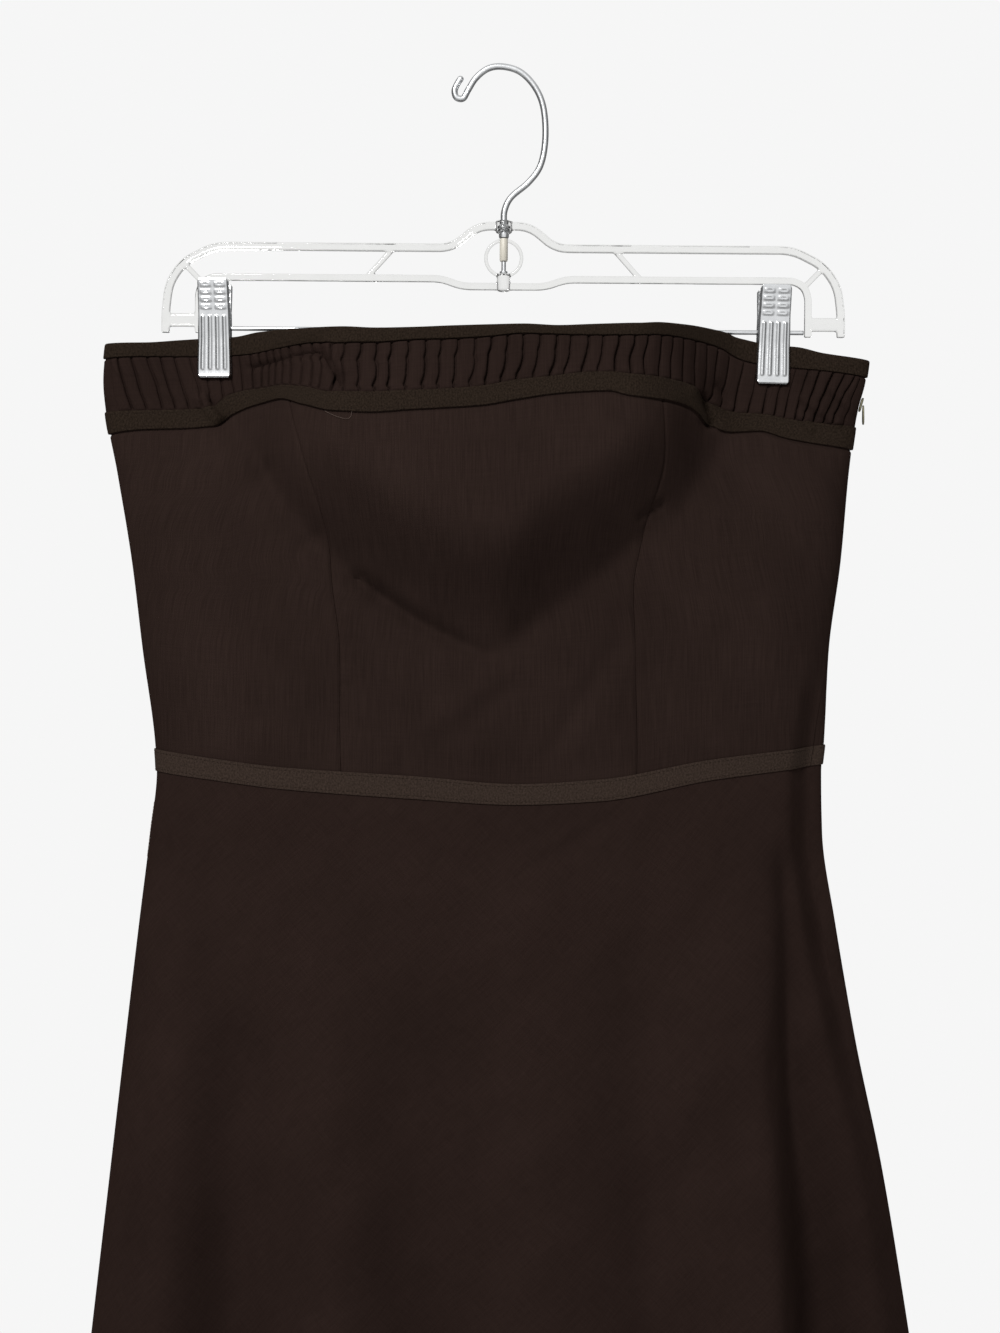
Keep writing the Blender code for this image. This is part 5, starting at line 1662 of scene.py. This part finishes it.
@dataclass
class Clip:
    """Sprung clip: two pressed plates with ridges and finger bumps, and a coil spring."""

    label: str
    x: float
    drop: float
    lean: float
    metal: bpy.types.Material
    thick: float = 0.7
    ridge_rise: float = 0.75
    bump_rise: float = 0.7
    coils: int = 9
    coil_long: float = 10.8
    coil_radius: float = 2.45
    heights: tuple = (25.2, 18.0, 8.0, 0.0, -6.0, -10.0, -12.0, -24.0, -26.0, -27.0)
    inners: tuple = (9.4, 7.4, 4.6, 3.6, 2.95, 2.9, 2.9, 2.9, 2.9, 2.9)
    halves: tuple = (8.4, 8.5, 8.6, 8.7, 8.8, 8.9, 9.0, 9.2, 9.2, 8.9)

    def rod_z(self) -> float:
        """Height of the rod where this clip sits."""
        return ROD_HEIGHT - self.x * math.sin(HANGER_TILT)

    def relief(self, across: np.ndarray, up: np.ndarray) -> np.ndarray:
        """Raised form of a plate's face.

        Four upright ridges are bells across with soft ends below the rod, and two
        columns of level ovals are bells in both directions above it, with a low lip
        along the bottom.
        """
        ridge = np.zeros(across.shape)
        for place in (-0.66, -0.22, 0.22, 0.66):
            ridge = np.maximum(ridge, np.exp(-(((across - place) / 0.115) ** 2)))
        ends = ease((6.6 - up) / 1.4) * ease((up + 23.4) / 1.2)
        bumps = np.zeros(across.shape)
        for place in (-0.45, 0.45):
            for height in (22.0, 18.2, 14.4, 10.6):
                oval = ((across - place) / 0.34) ** 4 + ((up - height) / 1.2) ** 4
                dish = 0.55 * np.exp(-(((across - place) / 0.2) ** 4) - ((up - height) / 0.6) ** 4)
                bumps = np.maximum(bumps, np.exp(-oval) - dish)
        lip = 0.35 * np.exp(-(((up + 26.2) / 0.55) ** 2))
        return self.ridge_rise * ridge * ends + self.bump_rise * bumps + lip

    def plate(self, name: str, node: str, direction: float) -> None:
        """One plate: a grid whose face stands off by the relief, with its sides curled in."""
        up = np.append(np.linspace(25.2, -27.0, 150), [-26.9, -26.7, 25.0, 24.7])
        up = np.unique(up)[::-1]
        across = np.linspace(-1.0, 1.0, 77)
        rows = -np.array(self.heights)
        inner = smooth(-up, rows, np.array(self.inners))[:, None]
        half = smooth(-up, rows, np.array(self.halves))[:, None]
        a, u = np.meshgrid(across, up)
        curl = 0.85 * ease((np.abs(a) - 0.88) / 0.12) * np.ones(u.shape)
        curl = curl + (0.5 + 1.3 * ease((u - 1.0) / 10.0)) * ease((np.abs(a) - 0.94) / 0.06)
        edge = 0.45 * ease((u - 24.3) / 0.9) + 0.35 * ease((-26.4 - u) / 0.6)
        corner = 0.10 * ease((np.abs(u + 0.9) - 24.6) / 1.5) * ease((np.abs(a) - 0.8) / 0.2)
        face = inner + 0.2 + self.thick + self.relief(a, u) - curl - edge
        back = inner + 0.2 + 0.75 * self.relief(a, u) - 0.55 * curl - 0.2 * edge
        back = np.minimum(back, face - 0.35)
        x = a * half * (1 - corner)
        outer = np.stack([x, direction * face, u], axis=-1)
        lining = np.stack([x * 0.985, direction * back, u], axis=-1)
        if direction > 0:
            outer, lining = outer[:, ::-1], lining[:, ::-1]
        cos, sin = math.cos(self.lean), math.sin(self.lean)
        grids = []
        for grid in (outer, lining):
            gx, gy, gz = grid[..., 0], grid[..., 1], grid[..., 2]
            grids.append(np.stack([self.x + gx * cos - gz * sin, gy,
                                   self.rod_z() - self.drop + gz * cos + gx * sin], axis=-1))
        flat = np.stack([a * 9.0, u], axis=-1)
        obj = Mesher.shell(name, grids[0], grids[1], flat, self.metal, 50.0)
        dress_piece(obj, Body.GARMENT, (node,))

    def spring(self) -> None:
        """Coil round the rod: a helix with its wire's thickness."""
        t = np.linspace(0.0, 1.0, self.coils * 20 + 1)
        turn = 2 * math.pi * self.coils * t
        path = np.stack([self.x + self.coil_long * (t - 0.5), self.coil_radius * np.cos(turn),
                         self.rod_z() + self.coil_radius * np.sin(turn)], axis=1)
        obj = Mesher.swept(f"clip_coil_{self.label}", path, np.full((len(path), 2), 0.5), self.metal, 10)
        dress_piece(obj, Body.GARMENT, (f"clip_spring_{self.label}",))

    def build(self) -> None:
        """Both plates and the spring."""
        self.plate(f"clip_front_plate_{self.label}", f"clip_front_{self.label}", -1.0)
        self.plate(f"clip_back_plate_{self.label}", f"clip_back_{self.label}", 1.0)
        self.spring()


@dataclass
class Studio:
    """Pale floor, soft daylight from the upper left, and the camera of the photograph."""

    camera_place: tuple = (-0.0016, -1.0, -0.322)
    lens: float = 50.0
    sensor: float = 36.0
    paper: float = 0.922
    dome: float = 0.25
    shine: float = 1.20
    key_place: tuple = (-0.60, -1.58, 0.86)
    key_size: float = 0.55
    key_power: float = 27.0

    def world(self) -> None:
        """White surround for the camera, a soft dome for the cloth and a shaped one for shine.

        The soft dome is a soft step on height. The shaped one is bright ahead of the
        dress and above it, and dim at the sides, so that metal shows its ridges. Light
        that came through the plastic is white straight behind and dimmer to the sides.
        """
        world = bpy.data.worlds.new("studio")
        bpy.context.scene.world = world
        tree = Tree(world, "OutputWorld")
        place = tree.add("TexCoord").outputs["Generated"]
        _, away, up = tree.add("SeparateXYZ", Vector=place).outputs
        above = tree.spread(up, -0.5, 0.9, 0.72 * self.dome, 1.2 * self.dome, "SMOOTHSTEP")
        ahead = tree.spread(away, -0.35, -0.98, 0.15 * self.shine, self.shine, "SMOOTHSTEP")
        top = tree.spread(up, 0.35, 0.9, 0.0, 0.55 * self.shine, "SMOOTHSTEP")
        through = tree.spread(away, 0.30, 0.97, 0.50 * self.paper, self.paper, "SMOOTHSTEP")
        strengths = (self.paper, above, tree.math("ADD", ahead, top), through)
        white = (1.0, 1.0, 1.0, 1.0)
        lit = [tree.add("Background", Color=white, Strength=value).outputs[0] for value in strengths]
        path = tree.add("LightPath")
        surface = lit[0]
        for ray, light in zip(("Diffuse", "Glossy", "Transmission"), lit[1:]):
            mix = tree.add("MixShader", Fac=path.outputs[f"Is {ray} Ray"])
            tree.join(mix.inputs[1], surface)
            tree.join(mix.inputs[2], light)
            surface = mix.outputs[0]
        tree.join(tree.output.inputs["Surface"], surface)

    def key(self) -> None:
        """Large soft light from the upper left."""
        light = bpy.data.lights.new("key", "AREA")
        light.shape = "DISK"
        light.size = self.key_size
        light.energy = self.key_power
        light.color = (1.0, 0.995, 0.985)
        obj = bpy.data.objects.new("key", light)
        bpy.context.scene.collection.objects.link(obj)
        obj.location = self.key_place
        aim = np.array([0.0, 0.0, -0.35]) - np.array(self.key_place)
        obj.rotation_euler = Vector(tuple(aim)).to_track_quat("-Z", "Y").to_euler()

    def floor(self) -> None:
        """Plain pale floor well under the hem."""
        edge = np.array([(-1600.0, -1400.0, -1050.0), (1600.0, -1400.0, -1050.0),
                         (1600.0, 900.0, -1050.0), (-1600.0, 900.0, -1050.0)])
        finish = PlainFinish("floor_paper", (0.80, 0.80, 0.80), 0.9).build()
        obj = Mesher.make("floor", edge, np.array([[0, 1, 2, 3]]), finish)

    def camera(self) -> None:
        """Camera in front of the dress, level, at the height of the picture's middle."""
        camera = bpy.data.cameras.new("camera")
        camera.lens = self.lens
        camera.sensor_width = self.sensor
        camera.clip_start = 0.01
        camera.clip_end = 20.0
        obj = bpy.data.objects.new("camera", camera)
        bpy.context.scene.collection.objects.link(obj)
        obj.location = self.camera_place
        obj.rotation_euler = (math.pi / 2, 0.0, 0.0)
        bpy.context.scene.camera = obj

    def build(self) -> None:
        """Surround, light, floor, camera and plain colour rendering."""
        self.world()
        self.key()
        self.floor()
        self.camera()
        bpy.context.scene.view_settings.view_transform = "Standard"
        bpy.context.scene.view_settings.look = "None"


def main() -> None:
    """Load the frame and build every sub-assembly over it."""
    logging.basicConfig(level=logging.INFO, format="%(message)s")
    for obj in list(bpy.data.objects):
        bpy.data.objects.remove(obj, do_unlink=True)
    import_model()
    drape = Drape()
    bodice_cloth = ClothFinish("bodice_cloth")
    tucked_cloth = ClothFinish("tucked_cloth", dark=(0.0200, 0.0123, 0.0103),
                               light=(0.0290, 0.0180, 0.0151), streak_across=1300.0, cross_share=0.4)
    skirt_cloth = ClothFinish("skirt_cloth", dark=(0.0232, 0.0140, 0.0117),
                              light=(0.0305, 0.0186, 0.0156), grain=math.radians(45),
                              streak_across=1100.0, streak_along=70.0, cross_share=0.45)
    tape_cloth = ClothFinish("tape_cloth", cross_share=0.5)
    ribbon = RibbonFinish("ribbon")
    # the waist ribbon's own colours, darkened in the rib valleys as painted shade and paled on the rib
    # tops as a painted highlight
    waist_ribbon = RibbonFinish("waist_ribbon", dark_tone_and_rib_shade=(0.0270, 0.0184, 0.0142),
                                ridge=(0.0600, 0.0412, 0.0326))
    brown_thread = ThreadFinish("brown_thread", (0.024, 0.0160, 0.0115))
    pale_thread = ThreadFinish("pale_thread", (0.36, 0.27, 0.23))
    grey_thread = ThreadFinish("grey_thread", (0.17, 0.13, 0.11))
    plated = MetalFinish("plated_metal")
    zip_metal = MetalFinish("zip_metal", colour=(0.16, 0.15, 0.10), dull=(0.09, 0.085, 0.06),
                            rough_low=0.35, rough_high=0.5)
    clear = ClearFinish("clear_plastic")
    cream = PlainFinish("cream_sleeve", (0.80, 0.76, 0.66), 0.4)
    TuckedBand(drape, tucked_cloth).build()
    Trim(drape, ribbon, waist_ribbon, brown_thread).build()
    Bodice(drape, bodice_cloth).build()
    Skirt(drape, skirt_cloth, pale_thread).build()
    LooseThread(drape, grey_thread).build()
    SideZip(drape, tape_cloth, zip_metal).build()
    Hanger(clear, plated, cream).build()
    metal = MetalFinish("clip_metal").build()
    Clip("left", drape.left_clip, drape.clip_drops[0], 0.0, metal).build()
    Clip("right", drape.right_clip, drape.clip_drops[1] / 2, math.radians(-1.5), metal).build()
    Studio().build()
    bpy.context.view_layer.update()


if __name__ == "__main__":
    main()
